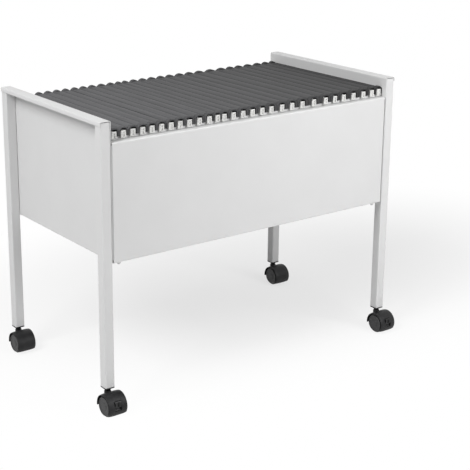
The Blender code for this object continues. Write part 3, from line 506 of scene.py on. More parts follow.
# %% Folded long sheets
TOP_FLANGE = 20 * MM
RAIL_LIP = 5 * MM
BOTTOM_FLANGE = 22 * MM
END_FLANGE = 15 * MM
RELIEF = 4 * MM
low = RETURN_LEVEL + MID + RELIEF
high = PANEL_TOP - RELIEF - FOLD_RADIUS
long_path = rounded([(BOTTOM_FLANGE, PANEL_BOTTOM + MID), (MID, PANEL_BOTTOM + MID), (MID, low),
                     (MID, high), (MID, PANEL_TOP - MID), (TOP_FLANGE - MID, PANEL_TOP - MID),
                     (TOP_FLANGE - MID, PANEL_TOP + RAIL_LIP)],
                    [0, BEND, 0, 0, BEND, BEND, 0], closed=False)
straight = PANEL_HALF - MID - BEND
end_flange = rounded([(straight, MID), (PANEL_HALF - MID, MID), (PANEL_HALF - MID, END_FLANGE)],
                     BEND, closed=False)
below = long_path[long_path[:, 1] < low + FIT / 2]
above = long_path[long_path[:, 1] > high - FIT / 2]
print("a long sheet's outline has", len(long_path), "points")

# %% Long sheets and their end flanges
def faced(end):
    """For an outline of (inward from the outer face, up) that is carried along X."""
    return lambda inward, up, station: along_x(end * (HALF_DEPTH - inward), up, station)


def planned(end):
    """For an outline of (out along X, inward from the outer face) that is carried upwards."""
    return lambda out, inward, station: along_z(out, end * (HALF_DEPTH - inward), station)


for name, end in (("front", -1), ("rear", 1)):
    forms = [carried(long_path, (-straight, straight), faced(end), closed=False)]
    for side in (-1, 1):
        forms += [carried(part, (side * straight, side * (PANEL_HALF - MID)), faced(end), closed=False)
                  for part in (below, above)]
        forms += [carried(end_flange * (side, 1), (low, high), planned(end), closed=False)]
    piece(f"{name}_sheet", moved(joined(*forms), (0, CENTRE_Y, 0)), GREY_COAT, "frame", "frame_coat",
          f"{name}_panel", wall=SHEET, edge=0.3 * MM)
print("long sheets", round(2 * PANEL_HALF / MM, 1), "mm long")

# %% [markdown]
# ## Fasteners
#
# Pan-head screws fix the long sheets' end flanges to the legs, and a screw with a dome nut holds the
# two bottom flanges together at each corner of the well. They are turned parts, so a lathe profile
# makes them. The nut could be a hexagon and a dome joined by a Boolean, but rings whose outline
# fades from a hexagon to a circle give the same form in one clean skin.

# %% Screws
SCREW_RADIUS = 2.4 * MM
SCREW_HEAD = 4.5 * MM
SCREW_CROWN = 2.6 * MM
SCREW_REACH = 5 * MM          # past the leg's wall
SCREW_INSET = 9 * MM          # from the long sheet's outer face
SCREW_LEVELS = {"lower": PANEL_BOTTOM + 45 * MM, "upper": PANEL_TOP - 45 * MM}
SCREW_SEGMENTS = 24


def screw_profile(seat, tip, radius, head_radius, crown):
    """From the tip to the seat and over a pan head, as (along, radius).

    The head's rim is a quarter of its height, and a quarter of an ellipse closes it.
    """
    dome = arc(1.0, 0, 90, 6) * (head_radius, crown * 0.75)
    rim = seat - crown * 0.25
    shank = [(tip, 0), (tip - radius, radius), (seat, radius), (seat, head_radius)]
    return np.concatenate([shank, together(rim - dome[:, 1], dome[:, 0])])


screw = screw_profile(PANEL_HALF - SHEET - FIT, WEB_OUTER + FIT + TUBE_WALL + SCREW_REACH,
                      SCREW_RADIUS, SCREW_HEAD, SCREW_CROWN)
for name, (side, end) in CORNERS.items():
    lying = turned(screw, SCREW_SEGMENTS, outwards(side))
    for which, level in SCREW_LEVELS.items():
        place = (0, CENTRE_Y + end * (HALF_DEPTH - SCREW_INSET), level)
        piece(f"pan_screw_{name}_{which}", moved(lying, place), ZINC, "frame", "zinc_steel",
              f"panel_screw_{name}_{which}")
print(len(CORNERS) * len(SCREW_LEVELS), "pan-head screws")

# %% Corner screws and dome nuts
NUT_SEGMENTS = 48
NUT_DEPTH = np.array([0, 0, 0.4, 3.2, 3.6, 3.6, 5.0, 6.4, 7.0, 7.3]) * MM      # below its seat
NUT_RADIUS = np.array([2.8, 4.3, 4.6, 4.6, 4.3, 3.7, 3.3, 2.2, 1.1, 0]) * MM
NUT_HEXAGON = np.array([0, 0.6, 1, 1, 0.6, 0, 0, 0, 0, 0])                     # 0 where it is round
BOLT_RADIUS = 2.5 * MM
BOLT_HEAD = 4.75 * MM
BOLT_CROWN = 2.7 * MM
BOLT_REACH = 5 * MM           # below the flanges, into the nut
CORNER_INSET = np.array((18, 10.5)) * MM


def nut_form(top):
    """Rings at depths: at angle t a hexagon's share of the radius is cos 30 / cos(t mod 60 - 30)."""
    share = NUT_HEXAGON[:, None]
    turn = 2 * math.pi * np.arange(NUT_SEGMENTS) / NUT_SEGMENTS
    six = math.cos(math.pi / 6) / np.cos(turn % (math.pi / 3) - math.pi / 6)
    ring = NUT_RADIUS[:, None] * (1 - share + share * six)
    points = along_z(ring * np.cos(turn), ring * np.sin(turn), top - NUT_DEPTH[:, None])
    return points.reshape(-1, 3), [quads(len(NUT_DEPTH), NUT_SEGMENTS, wrap=True)]


nut = nut_form(PANEL_BOTTOM - FIT)
bolt = screw_profile(-(RETURN_LEVEL + MID + FIT), -(PANEL_BOTTOM - BOLT_REACH),
                     BOLT_RADIUS, BOLT_HEAD, BOLT_CROWN) * (-1, 1)
for name, (side, end) in CORNERS.items():
    place = (side * (PANEL_HALF - CORNER_INSET[0]), CENTRE_Y + end * (HALF_DEPTH - CORNER_INSET[1]), 0)
    piece(f"dome_nut_{name}_turned", moved(nut, place), GREY_COAT, "frame", "frame_coat",
          f"dome_nut_{name}")
    piece(f"corner_bolt_{name}", moved(turned(bolt, SCREW_SEGMENTS, along_z), place), ZINC, "frame",
          "zinc_steel", f"corner_screw_{name}")
print(len(CORNERS), "corner screws and dome nuts")

# %% [markdown]
# ## Feet and casters
#
# A black plug closes each leg and grips the caster's stem, a black pin with a collar that the caster
# turns under. The plug is two square outlines carried upwards, the wide one below the leg and the
# narrow one inside it. The stem is turned from one profile, because its steps are its whole form.

# %% Plugs and stems
PLUG_LIP = 2.4 * MM
PLUG_REACH = 24 * MM
BOSS_GAP = 6 * MM
PIN = 4 * MM
PIN_TIP = 3 * MM
COLLAR = 5.8 * MM
COLLAR_EDGE = 5.3 * MM
STEM_ABOVE = 20 * MM
STEM_BELOW = 22 * MM
STEM_SEGMENTS = 32
PLUG_BOTTOM = LEG_BOTTOM - FIT - PLUG_LIP
BOSS_TOP = PLUG_BOTTOM - BOSS_GAP
inner_square = square * (TUBE - 2 * TUBE_WALL - 2 * FIT) / TUBE
plug = joined(carried(rounded(square, TUBE_CORNER), (PLUG_BOTTOM, LEG_BOTTOM - FIT), along_z),
              carried(rounded(inner_square, TUBE_CORNER - TUBE_WALL),
                      (LEG_BOTTOM - 2 * FIT, LEG_BOTTOM + PLUG_REACH), along_z))
top, foot = LEG_BOTTOM + STEM_ABOVE, BOSS_TOP - STEM_BELOW
chamfer = PIN - PIN_TIP
stem = turned([(top, 0), (top, PIN_TIP), (top - chamfer, PIN), (PLUG_BOTTOM - FIT, PIN),
               (PLUG_BOTTOM - FIT, COLLAR_EDGE), (PLUG_BOTTOM - 2 * FIT, COLLAR),
               (BOSS_TOP + 2 * FIT, COLLAR), (BOSS_TOP + FIT, COLLAR_EDGE), (BOSS_TOP + FIT, PIN),
               (foot + chamfer, PIN), (foot + FIT, PIN_TIP), (foot + FIT, 0)], STEM_SEGMENTS, along_z)
for name, place in LEG_AT.items():
    piece(f"foot_plug_{name}", moved(plug, place), PLUG_PLASTIC, "frame", "plug_black",
          f"leg_plug_{name}", edge=0.35 * MM)
    piece(f"stem_pin_{name}", moved(stem, place), PLUG_PLASTIC, "frame", "stem_black",
          f"caster_stem_{name}")
print("plugs end", round(PLUG_BOTTOM / MM, 1), "mm above the floor")

# %% [markdown]
# ### Wheels
#
# A moulded wheel is the same all round, so it is one lathe profile: from the bore over the tread,
# down the step beside it, and across the dished outer face to the hub cap. A cylinder with bevelled
# edges would be round too, but it would miss the rim that catches the light.

# %% Wheels
WHEEL_RADIUS = 22.5 * MM
WHEEL_GAP = 16.6 * MM
TRAIL = 16.5 * MM             # from the stem back to the axle
WHEEL_SEGMENTS = 72
WHEEL_OUTLINE = np.array([(0, 3.3), (0, 20.6), (0, 22.5), (8.8, 22.5),            # inner face and tread
                          (9.0, 19.4), (11.9, 19.4), (12.4, 18.9),                # step and rim
                          (11.1, 16.6), (10.9, 8.2), (11.6, 7.6), (11.9, 0)]) * MM       # dish and cap
WHEEL_ROUNDING = np.array([0, 0, 1.6, 1.0, 0.3, 0.2, 0.2, 0.8, 0.4, 0.4, 0]) * MM


def wheel_form(side):
    """The rounded outline turned about X; the radii grow so that flat segments reach the full round."""
    growth = (1, 1 / math.cos(math.pi / WHEEL_SEGMENTS))
    profile = rounded(WHEEL_OUTLINE * growth, WHEEL_ROUNDING, closed=False)
    wheel = turned(profile, WHEEL_SEGMENTS, outwards(side, WHEEL_GAP / 2))
    return moved(wheel, (0, -TRAIL, WHEEL_RADIUS))


for name, place in LEG_AT.items():
    for which, side in (("left", -1), ("right", 1)):
        piece(f"tyre_{name}_{which}", moved(wheel_form(side), place), WHEEL_PLASTIC,
              f"wheel_{name}_{which}", "wheel_black", f"wheel_{name}_{which}")
print(2 * len(LEG_AT), "wheels of", 2 * WHEEL_RADIUS / MM, "mm")

# %% [markdown]
# ### Hood
#
# The hood's outer skin is a surface of two parameters: the angle round the axle, and the place
# across. Its radius is a shallow crown, and at the front a scoop is pressed into it where a toe finds
# the brake pedal. A Boolean could cut the pedal's window, but it leaves ragged faces on a curved
# skin. Here the window is the part of the grid that gets no faces, and its rim is closed in.

# %% Hood surface
SOLID_SIDES = 24              # the wheels of the solid model have this many sides
HOOD_CLEARANCE = 0.9 * MM
HOOD_WALL = 2.4 * MM
HOOD_INNER = WHEEL_RADIUS / math.cos(math.pi / SOLID_SIDES) + HOOD_CLEARANCE
HOOD_OUTER = HOOD_INNER + HOOD_WALL
HOOD_HALF = 21.5 * MM
HOOD_CROWN = 1.2 * MM
SCOOP_ANGLE = 24
SCOOP_RADIUS = 60 * MM
SCOOP_DEPTH = 1.5 * MM
SCOOP_EDGE = 0.15 * MM
SCOOP_FACING = 0.2            # least cosine to the scoop's angle at which it is worked out
FAR = 1.0                     # metres: where a hollow ends, so that the other form holds


def hood_radius(across, angle, scooped):
    """Crown: r = outer - crown * (x / half) ** 4. Scoop: r cos(t - 24) stays below a wide hollow.

    The smaller of the two holds, blended by the soft minimum -e * log(exp(-a / e) + exp(-b / e)).
    """
    crown = HOOD_OUTER - HOOD_CROWN * (across / HOOD_HALF) ** 4
    if not scooped:
        return crown
    hollow = HOOD_OUTER - SCOOP_DEPTH + SCOOP_RADIUS - np.sqrt(SCOOP_RADIUS ** 2 - across ** 2)
    away = np.cos(np.radians(angle - SCOOP_ANGLE))
    flat = np.where(away > SCOOP_FACING, hollow / np.maximum(away, SCOOP_FACING), FAR)
    return -SCOOP_EDGE * np.logaddexp(-crown / SCOOP_EDGE, -flat / SCOOP_EDGE)


print("the hood reaches", round(HOOD_OUTER / MM, 2), "mm from the axle")

# %% Hood skins
HOOD_START = -38              # degrees above the level of the axle, counted from the front
HOOD_END = 190
WINDOW_HALF = 7.7 * MM
WINDOW_FOOT = -11
WINDOW_TOP = 35.1
ACROSS_STEPS = (12, 14, 12)   # beside the window, over it and beside it again
ANGLE_STEPS = (8, 15, 52)     # below the window, over it and behind it


def runs(places, steps):
    """Each place and even steps from it to the next."""
    spans = [np.linspace(*span, count, endpoint=False) for *span, count in zip(places, places[1:], steps)]
    return np.concatenate([*spans, places[-1:]])


def hood_form(braked):
    """Outer and inner skins on one grid of angle and place across, shut along every free edge."""
    across = runs((-HOOD_HALF, -WINDOW_HALF, WINDOW_HALF, HOOD_HALF), ACROSS_STEPS)
    angle = runs((HOOD_START, WINDOW_FOOT, WINDOW_TOP, HOOD_END), ANGLE_STEPS)
    grid_angle, grid_across = np.meshgrid(angle, across, indexing="ij")
    turn = np.radians(grid_angle)
    outer = hood_radius(grid_across, grid_angle, braked)
    skins = [together(grid_across, -TRAIL - r * np.cos(turn), WHEEL_RADIUS + r * np.sin(turn))
             for r in (outer, HOOD_INNER)]
    index = np.arange(outer.size).reshape(outer.shape)
    keep = np.ones((len(angle) - 1, len(across) - 1), bool)
    rims = [index[:, 0], index[:, -1], index[0], index[-1]]
    if braked:
        (left, right), (foot, top) = np.cumsum(ACROSS_STEPS)[:2], np.cumsum(ANGLE_STEPS)[:2]
        keep[foot:top, left:right] = False
        rims += [index[foot:top + 1, left], index[foot:top + 1, right],
                 index[foot, left:right + 1], index[top, left:right + 1]]
    skin = quads(*outer.shape)[keep.ravel()]
    walls = [together(rim[:-1], rim[1:], rim[1:] + index.size, rim[:-1] + index.size) for rim in rims]
    return np.concatenate(skins).reshape(-1, 3), [skin, skin + index.size, np.concatenate(walls)]


hoods = {braked: hood_form(braked) for braked in (True, False)}
print("hood of", len(hoods[True][0]), "corners")

# %% [markdown]
# ### Web and boss
#
# Between the wheels stands the web that holds the axle, and on top the boss that turns on the stem.
# The web is flat, so its side outline is carried across. On a braked caster it is three plates,
# because the pedal's pad is wide and its core is narrow, and each needs its own room to rock in.

# %% Web and boss
PIVOT_AHEAD, PIVOT_ABOVE = 13 * MM, 8 * MM       # the pedal's pin, from the axle
PIVOT = np.array([0, -TRAIL - PIVOT_AHEAD, WHEEL_RADIUS + PIVOT_ABOVE])
WEB_HALF = 7.5 * MM
WEB_FOOT = 20.3 * MM
CHEEK_INNER = 5.1 * MM
PLATE_MELD = 0.1 * MM
PLATE_TOP = 36                # degrees, just above the window
PAD_ROOM = 8.9 * MM
CORE_ROOM = 9.15 * MM
ROOM_FOOT, ROOM_TOP = -50, 40        # degrees, round the pivot
BOSS_SEGMENTS = 48
BOSS_OUTLINE = np.array([(26, 0), (26, 7.4), (5.5, 7.4), (3, 7.35), (0.8, 6.9), (0, 6.2), (0, 4.3),
                         (4, 4.3), (4, 0)])      # depth and radius in mm: a round edge, and the bore


def web_form(braked):
    """Plates between the wheels: the hood's inner arc closed by a lower arc, with room cut round a pedal.

    Places are (ahead, above) from the axle. The room is a ring sector round the pivot for the pad
    through all the plates, and in the middle one a round slot as well, for the pedal's core.
    """
    rim = HOOD_INNER + MELD
    foot = arc(WEB_FOOT, HOOD_END, HOOD_START + 360, 24)
    if not braked:
        plates = [(-WEB_HALF, WEB_HALF, np.concatenate([arc(rim, HOOD_START, HOOD_END, 40), foot]))]
    else:
        pivot = (PIVOT_AHEAD, PIVOT_ABOVE)
        low_corner = arc(rim, HOOD_START, WINDOW_FOOT, 6)
        back = arc(rim, PLATE_TOP, HOOD_END, 36)
        rooms = (arc(PAD_ROOM, ROOM_FOOT, ROOM_TOP, 12, pivot),
                 arc(CORE_ROOM, ROOM_FOOT + 360, ROOM_TOP, 36, pivot))
        cheek, middle = (np.concatenate([low_corner, room, back, foot]) for room in rooms)
        plates = [(-WEB_HALF, -CHEEK_INNER, cheek),
                  (-CHEEK_INNER - PLATE_MELD, CHEEK_INNER + PLATE_MELD, middle),
                  (CHEEK_INNER, WEB_HALF, cheek)]
    return joined(*(carried(outline * (-1, 1) + (-TRAIL, WHEEL_RADIUS), (left, right), along_x)
                    for left, right, outline in plates))


boss = turned(BOSS_OUTLINE * (-MM, MM) + (BOSS_TOP, 0), BOSS_SEGMENTS, along_z)
for name, place in LEG_AT.items():
    braked = name.startswith("front")
    for title, form, edge in (("hood", hoods[braked], 0.4 * MM), ("hood_web", web_form(braked), 0.3 * MM),
                              ("hood_boss", boss, 0)):
        piece(f"{title}_{name}", moved(form, place), HOOD_NYLON, f"caster_{name}", "hood_black",
              f"caster_housing_{name}", edge=edge)
print(len(LEG_AT), "hoods with webs and bosses")

# %% [markdown]
# ### Brake pedals
#
# The pedal rocks on a pin just behind the window. Its pad is an arc about that pin, so it keeps its
# distance from the window's edges as it turns. A hollow across it takes the toe, and a short slot is
# moulded in its middle. Both are worked into the pad's own grid, whose columns crowd at the slot.

# %% Brake pedals
PAD_RADIUS = 12.6 * MM
PAD_INNER = 9.4 * MM
PAD_FOOT, PAD_TOP = -32, 36   # these and the turns below are degrees round the pivot
TOE_HALF = 5.6 * MM
TOE_RADIUS = 11 * MM
TOE_DEPTH = 1.5 * MM
SLOT_HALF = 1.85 * MM
SLOT_TURN = 18
SLOT_EDGE = 0.2               # the slot's ends lean a little
SLOT_DEPTH = 1.6 * MM
CORE_RADIUS, CORE_FRONT = 9.45 * MM, (-16, 18)
CORE_INNER, CORE_BACK = 3.8 * MM, (100, 260)
CORE_HALF = 4.6 * MM
PAD_COLUMNS = np.array([-7.2, -6.6, -5.6, -4.4, -3.2, -2.4, -1.9, -1.8, 0,
                        1.8, 1.9, 2.4, 3.2, 4.4, 5.6, 6.6, 7.2]) * MM


def pad_form():
    """At angle t the pad's front stands PAD_RADIUS * cos t ahead, or less inside the toe's hollow."""
    inside, outside = SLOT_TURN - SLOT_EDGE, SLOT_TURN + SLOT_EDGE
    spans = (PAD_FOOT, -outside, 5), (-inside, inside, 9), (outside, PAD_TOP, 6)
    angle = np.radians(np.concatenate([np.linspace(*span) for span in spans]))
    x, turn = np.meshgrid(PAD_COLUMNS, angle, indexing="ij")
    hollow = PAD_RADIUS + TOE_RADIUS - TOE_DEPTH - np.sqrt(TOE_RADIUS ** 2 - x ** 2)
    ahead = np.minimum(PAD_RADIUS * np.cos(turn), np.where(np.abs(x) < TOE_HALF, hollow, FAR))
    slot = (np.abs(x) < SLOT_HALF) & (np.abs(turn) < math.radians(SLOT_TURN))
    ahead = np.where(slot, ahead - SLOT_DEPTH, ahead)
    outer = together(x, -ahead, PAD_RADIUS * np.sin(turn))
    inner = together(x, -PAD_INNER * np.cos(turn), PAD_INNER * np.sin(turn))
    loop = np.concatenate([outer, inner[:, ::-1]], axis=1)
    return loop.reshape(-1, 3), shut(*loop.shape[:2])


core = np.concatenate([arc(CORE_RADIUS, *CORE_FRONT, 6), arc(CORE_INNER, *CORE_BACK, 16)])
pedal = joined(pad_form(), carried(core * (-1, 1), (-CORE_HALF, CORE_HALF), along_x))
for name in ("front_left", "front_right"):
    piece(f"pedal_{name}", moved(pedal, LEG_AT[name] + PIVOT), PEDAL_NYLON, f"brake_pedal_{name}",
          "pedal_black", f"brake_pedal_{name}", edge=0.25 * MM)
print("2 pedals,", round(1000 * 2 * PAD_COLUMNS[-1], 1), "mm wide")

# %% Axles and pins
def finish_solid(node, finish):
    """A solid whose shape is right stays, and gets its finish in its material slot."""
    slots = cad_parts[node].data.materials
    slots.clear()
    slots.append(finish)


for name in CORNERS:
    finish_solid(f"caster_axle_{name}", ZINC)
for name in ("front_left", "front_right"):
    finish_solid(f"brake_pin_{name}", ZINC)
print("4 axles and 2 pins are zinc plated")

# %% [markdown]
# ## Hanging files
#
# Each file is a card pocket between two hangers. A hanger is a thin steel bar with a plastic hook at
# each end that sits on the rail lip, and a top strip covers it. The files are linked in sections, so
# a whole section lifts out, and all its pieces ride on one body. Even steps would be simpler, but the
# real row is pushed together by hand. So the hangers stand at shares of the row's length, and a
# strip reaches half-way to each neighbour, less half a gap.

# %% Where the hangers are
STEP_SHARES = ((22, 22, 23, 22, 23), (22, 23, 25, 25, 21), (24, 25, 25, 26, 25), (28, 29, 33, 34, 27),
               (29, 30, 26, 21))
BETWEEN_SHARES = (23, 17, 29, 26)
FIRST_INSET = 14.75 * MM
LAST_INSET = 9.75 * MM
STRIP_GAP = 0.8 * MM
WEB_GAP = 0.45 * MM
WIDE_JOINT = 2.0 * MM
run = 2 * WELL_HALF - FIRST_INSET - LAST_INSET
unit = run / (sum(map(sum, STEP_SHARES)) + sum(BETWEEN_SHARES))
steps = [step for group, after in zip(STEP_SHARES, (*BETWEEN_SHARES, 0)) for step in (*group, after)]
places = -WELL_HALF + FIRST_INSET + unit * np.concatenate([[0], np.cumsum(steps)[:-1]])
reach = (np.diff(places) - STRIP_GAP) / 2
hangers = together(places, [FIRST_INSET - WEB_GAP, *reach], [*reach, LAST_INSET - WEB_GAP])
hangers[len(STEP_SHARES[0]), 2] -= WIDE_JOINT        # the first section stands a little apart
sections = np.split(hangers, np.cumsum([len(group) + 1 for group in STEP_SHARES])[:-1])
print([len(section) for section in sections], "hangers, the last at", round(places[-1] / MM, 1), "mm")

# %% [markdown]
# ### Top strips
#
# A strip is a thin extruded channel, nearly flat on top, and the strips lie so close that they read
# as one ribbed top. In each end sits a taller arched plug, with a channel below it for the hook. A
# strip could be a flat plate with Solidify, but its two legs and round edges draw the dark joint
# lines. So an outer and an inner outline are carried along as one closed profile.

# %% Top strips
TIP = 387 * MM / 2
STRIP_END = TIP - 0.6 * MM
STRIP_TOP = PANEL_TOP + 22.2 * MM
STRIP_FOOT = PANEL_TOP + 6 * MM
STRIP_WALL = 1.2 * MM
STRIP_CORNER = 1.6 * MM
STRIP_CROWN = 1.2 * MM
SHEET_SHARE = 0.97            # the strip itself ends inside its plugs
PLUG_LENGTH = 9 * MM
PLUG_TOP = PANEL_TOP + 25 * MM
PLUG_CORNER = 1.2 * MM
PLUG_CROWN = 6.5 * MM
CHANNEL_HALF = 8.8 * MM
CHANNEL_TOP = PANEL_TOP + 21.6 * MM
CHANNEL_CORNER = 6 * MM


def arch(left, right, top, foot, corner, crown):
    """An open outline: up at -left, over a top that falls by crown * (x / reach) ** 2, down at right."""
    share = np.array([-1, -0.6, -0.3, 0, 0.3, 0.6, 1])
    across = np.where(share < 0, left, right) * share
    corners = [(-left, foot), *together(across, top - crown * share ** 2), (right, foot)]
    return rounded(corners, [0, corner, 0, 0, 0, 0, 0, corner, 0], closed=False)


def strip_form(x, left, right):
    """A strip along Y that reaches left and right of x, with a plug in each end."""
    outer = arch(left, right, STRIP_TOP, STRIP_FOOT, STRIP_CORNER, STRIP_CROWN)
    inner = arch(left - STRIP_WALL, right - STRIP_WALL, STRIP_TOP - STRIP_WALL, STRIP_FOOT,
                 STRIP_CORNER - STRIP_WALL, STRIP_CROWN)
    sheet = carried(np.concatenate([outer, inner[::-1]]),
                    np.array((-STRIP_END, STRIP_END)) * SHEET_SHARE, along_y)
    fill = arch(left, right, PLUG_TOP, STRIP_FOOT + MELD, PLUG_CORNER, PLUG_CROWN)
    sides = [min(CHANNEL_HALF, side - STRIP_WALL) for side in (left, right)]
    channel = arch(*sides, CHANNEL_TOP, STRIP_FOOT + MELD, CHANNEL_CORNER, 0)
    plugs = [carried(np.concatenate([fill, channel[::-1]]), np.array(ends), along_y)
             for ends in ((-STRIP_END, -STRIP_END + PLUG_LENGTH), (STRIP_END - PLUG_LENGTH, STRIP_END))]
    return moved(joined(sheet, *plugs), (x, 0, 0))


print("strips", round(2 * STRIP_END / MM, 1), "mm long and", round(2 * reach.min() / MM, 1), "to",
      round(2 * reach.max() / MM, 1), "mm wide")

# %% [markdown]
# ### Hooks and bars
#
# A hook is a small moulded block with a notch that drops over the rail lip, and on its outer face a
# grille of thin bars with holes between them. A Boolean could cut the notch and the holes, but a
# block whose floor changes along its length gives the notch, and five small blocks the grille. One
# pair of hooks is made, and repeated at every hanger.

# %% Hooks and bars
HOOK_TOP = PANEL_TOP + 17.4 * MM
HOOK_HALF = 5.6 * MM
HOOK_CORNER = 3.0 * MM
HOOK_STATIONS = np.array([178, 185.6, 185.6, 187.6, 187.6, 191.2]) * MM
HOOK_FLOORS = np.array([-2, -2, 5.4, 5.4, 2.4, 2.4]) * MM + PANEL_TOP        # high over the rail lip
FACE = np.array([191.0, 193.3]) * MM
FACE_BARS = np.array([(-5.6, -2.9, 2.4, 15.6), (2.6, 5.6, 2.4, 15.6), (-5.6, 5.6, 14.4, 17.4),
                      (-4, 4, 9.2, 11.2), (-4, 4, 2.4, 4.4)]) * MM           # left, right, foot, top
FACE_CORNER = 0.6 * MM
BAR_HALF = 1.2 * MM
BAR_FOOT = 3.4 * MM
BAR_TOP = 20.6 * MM
BAR_END = 179 * MM


def block(left, right, top, stations, floors, corner):
    """A block along Y: at each station a rectangle with round top corners and its own floor."""
    outline = rounded([(left, -1), (right, -1), (right, top), (left, top)], [0, 0, corner, corner])
    up = np.where(outline[None, :, 1] < -0.5, floors[:, None], outline[None, :, 1])
    points = along_y(outline[None, :, 0], up, stations[:, None])
    return points.reshape(-1, 3), shut(*up.shape)


body = block(-HOOK_HALF, HOOK_HALF, HOOK_TOP, HOOK_STATIONS, HOOK_FLOORS, HOOK_CORNER)
grille = [block(left, right, PANEL_TOP + top, FACE, PANEL_TOP + np.full(2, foot), FACE_CORNER)
          for left, right, foot, top in FACE_BARS]
hook_points, hook_faces = joined(body, *grille)
hooks = joined((hook_points * (1, -1, 1), hook_faces), (hook_points, hook_faces))
bar_outline = np.array([(-BAR_HALF, BAR_FOOT), (BAR_HALF, BAR_FOOT), (BAR_HALF, BAR_TOP),
                        (-BAR_HALF, BAR_TOP)]) + (0, PANEL_TOP)
bar = carried(bar_outline, (-BAR_END, BAR_END), along_y)
print("hooks reach", round(TIP / MM, 1), "mm from the middle")

# %% [markdown]
# ### Card pockets
#
# A pocket is a sheet of card folded to a U and hung between two hangers. Card is never quite flat,
# so its walls bow a little. Cloth simulation would be too soft for it, so a sine along each
# direction gives the bow, and Solidify the card's thickness.

# %% Card pockets
CARD = 0.6 * MM
POCKET_HALF = 177.0 * MM
POCKET_TOP = PANEL_TOP + 3.8 * MM
POCKET_FOOT = PANEL_TOP - 226 * MM
POCKET_FOLD = 4 * MM
POCKET_BOW = 0.9 * MM
WALL_ROWS = 8


def pocket(left, right):
    """A U of card: each wall bows inwards by bow * sin(pi * height share) * cos(pi * y / length)."""
    fold = rounded([(left, POCKET_TOP), (left, POCKET_FOOT + CARD), (right, POCKET_FOOT + CARD),
                    (right, POCKET_TOP)], POCKET_FOLD, steps=4, closed=False)
    up = np.linspace(POCKET_TOP, POCKET_FOOT + 2 * POCKET_FOLD, WALL_ROWS + 1)[1:]
    line = np.concatenate([fold[:1], together(left, up), fold[1:-1], together(right, up[::-1]),
                           fold[-1:]])
    points, faces = carried(line, np.linspace(-POCKET_HALF, POCKET_HALF, 13), along_y, closed=False)
    height = np.clip((points[:, 2] - POCKET_FOOT) / (PANEL_TOP - POCKET_FOOT), 0, 1)
    bow = POCKET_BOW * np.sin(math.pi * height) * np.cos(math.pi * points[:, 1] / (2 * POCKET_HALF))
    points[:, 0] += bow * np.where(points[:, 0] < (left + right) / 2, 1, -1)
    return points, faces


print("pockets hang", round((POCKET_TOP - POCKET_FOOT) / MM, 1), "mm deep")

# %% Sections of files
for number, section in enumerate(sections, 1):
    body, slot = f"file_section_{number}", "file_card"
    shifts = section * (1, 0, 0) + (0, CENTRE_Y, 0)
    strips = moved(joined(*(strip_form(*hanger) for hanger in section)), (0, CENTRE_Y, 0))
    piece(f"top_strips_{number}", strips, STRIP_PVC, body, slot, body, edge=0.25 * MM)
    piece(f"hooks_{number}", repeated(hooks, shifts), HOOK_PLASTIC, body, slot, body, edge=0.2 * MM)
    piece(f"hanger_bars_{number}", repeated(bar, shifts), ZINC, body, slot, body)
    pockets = [pocket(left + CARD, right - CARD) for left, right in zip(section[:-1, 0], section[1:, 0])]
    piece(f"card_pockets_{number}", moved(joined(*pockets), (0, CENTRE_Y, 0)), GREY_CARD, body, slot,
          body, wall=CARD)
print(sum(map(len, sections)), "files dressed")

# %% [markdown]
# ## Floor and surround
#
# The photograph is a catalogue cut-out: a white floor that keeps a soft shadow, and an even white
# round it. More light would make a plain floor white, but it would bleach the trolley too. So the
# floor is lit paint near the trolley, and away from it the camera, and mirrors and glass, see a
# share of even white that grows with the distance. The world does the same for what lies beyond.

# %% Rays that see the white
def seen(tree):
    """1 for camera, mirror and glass rays, and 0 for the rays that light the object."""
    rays = add(tree, "LightPath")
    direct = add(tree, "Math", {0: rays.outputs["Is Camera Ray"], 1: rays.outputs["Is Glossy Ray"]},
                 operation="MAXIMUM")
    return add(tree, "Math", {0: direct.outputs[0], 1: rays.outputs["Is Transmission Ray"]},
               operation="MAXIMUM").outputs[0]


print("camera, glossy and transmission rays see the white")

# %% Floor
FLOOR_HALF = 12.0
PAINT_MIDDLE = (0.37, 0.28, 0)           # metres
PAINT_REACH = (1 / 0.85, 1 / 1.35, 1)    # where the paint has turned to even white
PAINT_START = 0.25                       # the share of that reach where it starts to turn
WHITE_NEAR = 0.67


def white_floor():
    """White studio paint, matte: it keeps the shadow, and turns to even white in an oval further out."""
    made, tree, shader, place = started("white studio floor", {
        "Roughness": 0.9, "Specular IOR Level": 0.1, "Base Color": linear("#f6f6f6")})
    oval = add(tree, "Mapping", {"Vector": place, "Location": PAINT_MIDDLE, "Scale": PAINT_REACH},
               vector_type="TEXTURE")
    distance = add(tree, "VectorMath", {0: oval.outputs[0]}, operation="LENGTH")
    far = add(tree, "MapRange", {"Value": distance.outputs["Value"], "From Min": PAINT_START,
                                 "From Max": 1.0, "To Min": WHITE_NEAR}, interpolation_type="SMOOTHSTEP")
    share = add(tree, "Math", {0: seen(tree), 1: far.outputs[0]}, operation="MULTIPLY")
    white = add(tree, "Emission", {"Color": (1, 1, 1, 1), "Strength": 1.0})
    mix = add(tree, "MixShader", {0: share.outputs[0], 1: shader.outputs[0], 2: white.outputs[0]})
    tree.links.new(mix.outputs[0], tree.nodes["Material Output"].inputs["Surface"])
    return made


corners = np.array([(-1, -1, 0), (1, -1, 0), (1, 1, 0), (-1, 1, 0)]) * FLOOR_HALF
mesh = bpy.data.meshes.new("studio_floor")
mesh.from_pydata(corners.tolist(), [], [(0, 1, 2, 3)])        # one plain face is all a floor needs
mesh.materials.append(white_floor())
placed("studio_floor", mesh)
print("floor", 2 * FLOOR_HALF, "m wide")

# %% World
FILL = 0.12                   # what the surround adds to the lamps


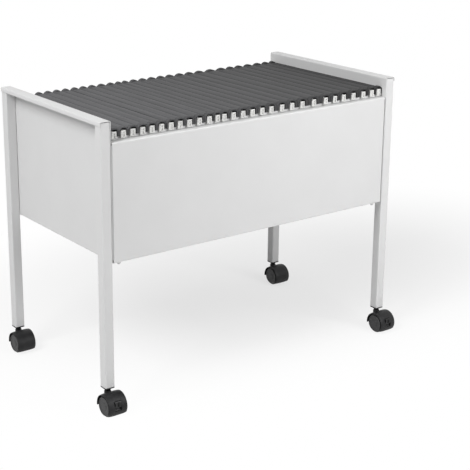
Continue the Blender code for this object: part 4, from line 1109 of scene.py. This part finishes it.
def white_world():
    """Even white for the rays that see it, and a weak fill for the rest."""
    made = bpy.data.worlds.new("white studio")
    made.use_nodes = True
    tree = made.node_tree
    strength = add(tree, "MapRange", {"Value": seen(tree), "To Min": FILL, "To Max": 1.0})
    ground = tree.nodes["Background"]
    ground.inputs["Color"].default_value = (1, 1, 1, 1)
    tree.links.new(strength.outputs[0], ground.inputs["Strength"])
    return made


bpy.context.scene.world = white_world()
print("the world fills in with", FILL)

# %% [markdown]
# ## Lights
#
# The light comes from high on the left: it brightens the left end panel and lays a narrow shadow
# under its cap. A weak broad lamp above evens out the tops, and a small one in front on the right
# lifts the long panel. Square area lamps are used, because their size sets how soft a shadow is.

# %% Lights
def softbox(name, place, size, power):
    """A square area lamp of a size in metres and a power in watts, turned to face the trolley."""
    lamp = bpy.data.lights.new(name, "AREA")
    lamp.shape, lamp.size, lamp.energy = "SQUARE", size, power
    made = placed(name, lamp)
    made.location = place
    made.rotation_euler = (made.location - Vector(AIM)).to_track_quat("Z", "Y").to_euler()


AIM = (0, 0, 0.35)
softbox("top softbox", (-0.65, 0.0, 2.7), 2.0, 12)
softbox("front softbox", (0.5, -1.3, 1.0), 0.9, 13.5)
softbox("left softbox", (-2.3, -0.5, 2.6), 1.3, 68)
print(len(bpy.data.lights), "softboxes")

# %% [markdown]
# ## Camera
#
# A long lens from the front left keeps the trolley's lines nearly parallel. The camera could be
# placed by eye, but its angles and distance were solved from where the frame's corners stand, and are
# set here as numbers. It looks past the target by a small shift, as the photograph's framing does.

# %% Camera
FOCAL_PIXELS = 1201
IMAGE_PIXELS = 470
YAW = math.radians(-35.33)
PITCH = math.radians(16.34)
DISTANCE = 2.684
TARGET = np.array((-48.2, 0, 379.4)) * MM
SHIFT = 0.1
lens = bpy.data.cameras.new("catalogue camera")
lens.sensor_width = 36
lens.lens = FOCAL_PIXELS / IMAGE_PIXELS * lens.sensor_width
lens.shift_x, lens.shift_y = SHIFT, -SHIFT
camera = placed("catalogue camera", lens)
back = np.array((math.sin(YAW) * math.cos(PITCH), -math.cos(YAW) * math.cos(PITCH), math.sin(PITCH)))
camera.location = TARGET + back * DISTANCE
camera.rotation_euler = (math.pi / 2 - PITCH, 0, YAW)
bpy.context.scene.camera = camera
bpy.context.scene.view_settings.view_transform = "Standard"
print("camera at", np.round(TARGET + back * DISTANCE, 3), "lens", round(lens.lens, 1), "mm")
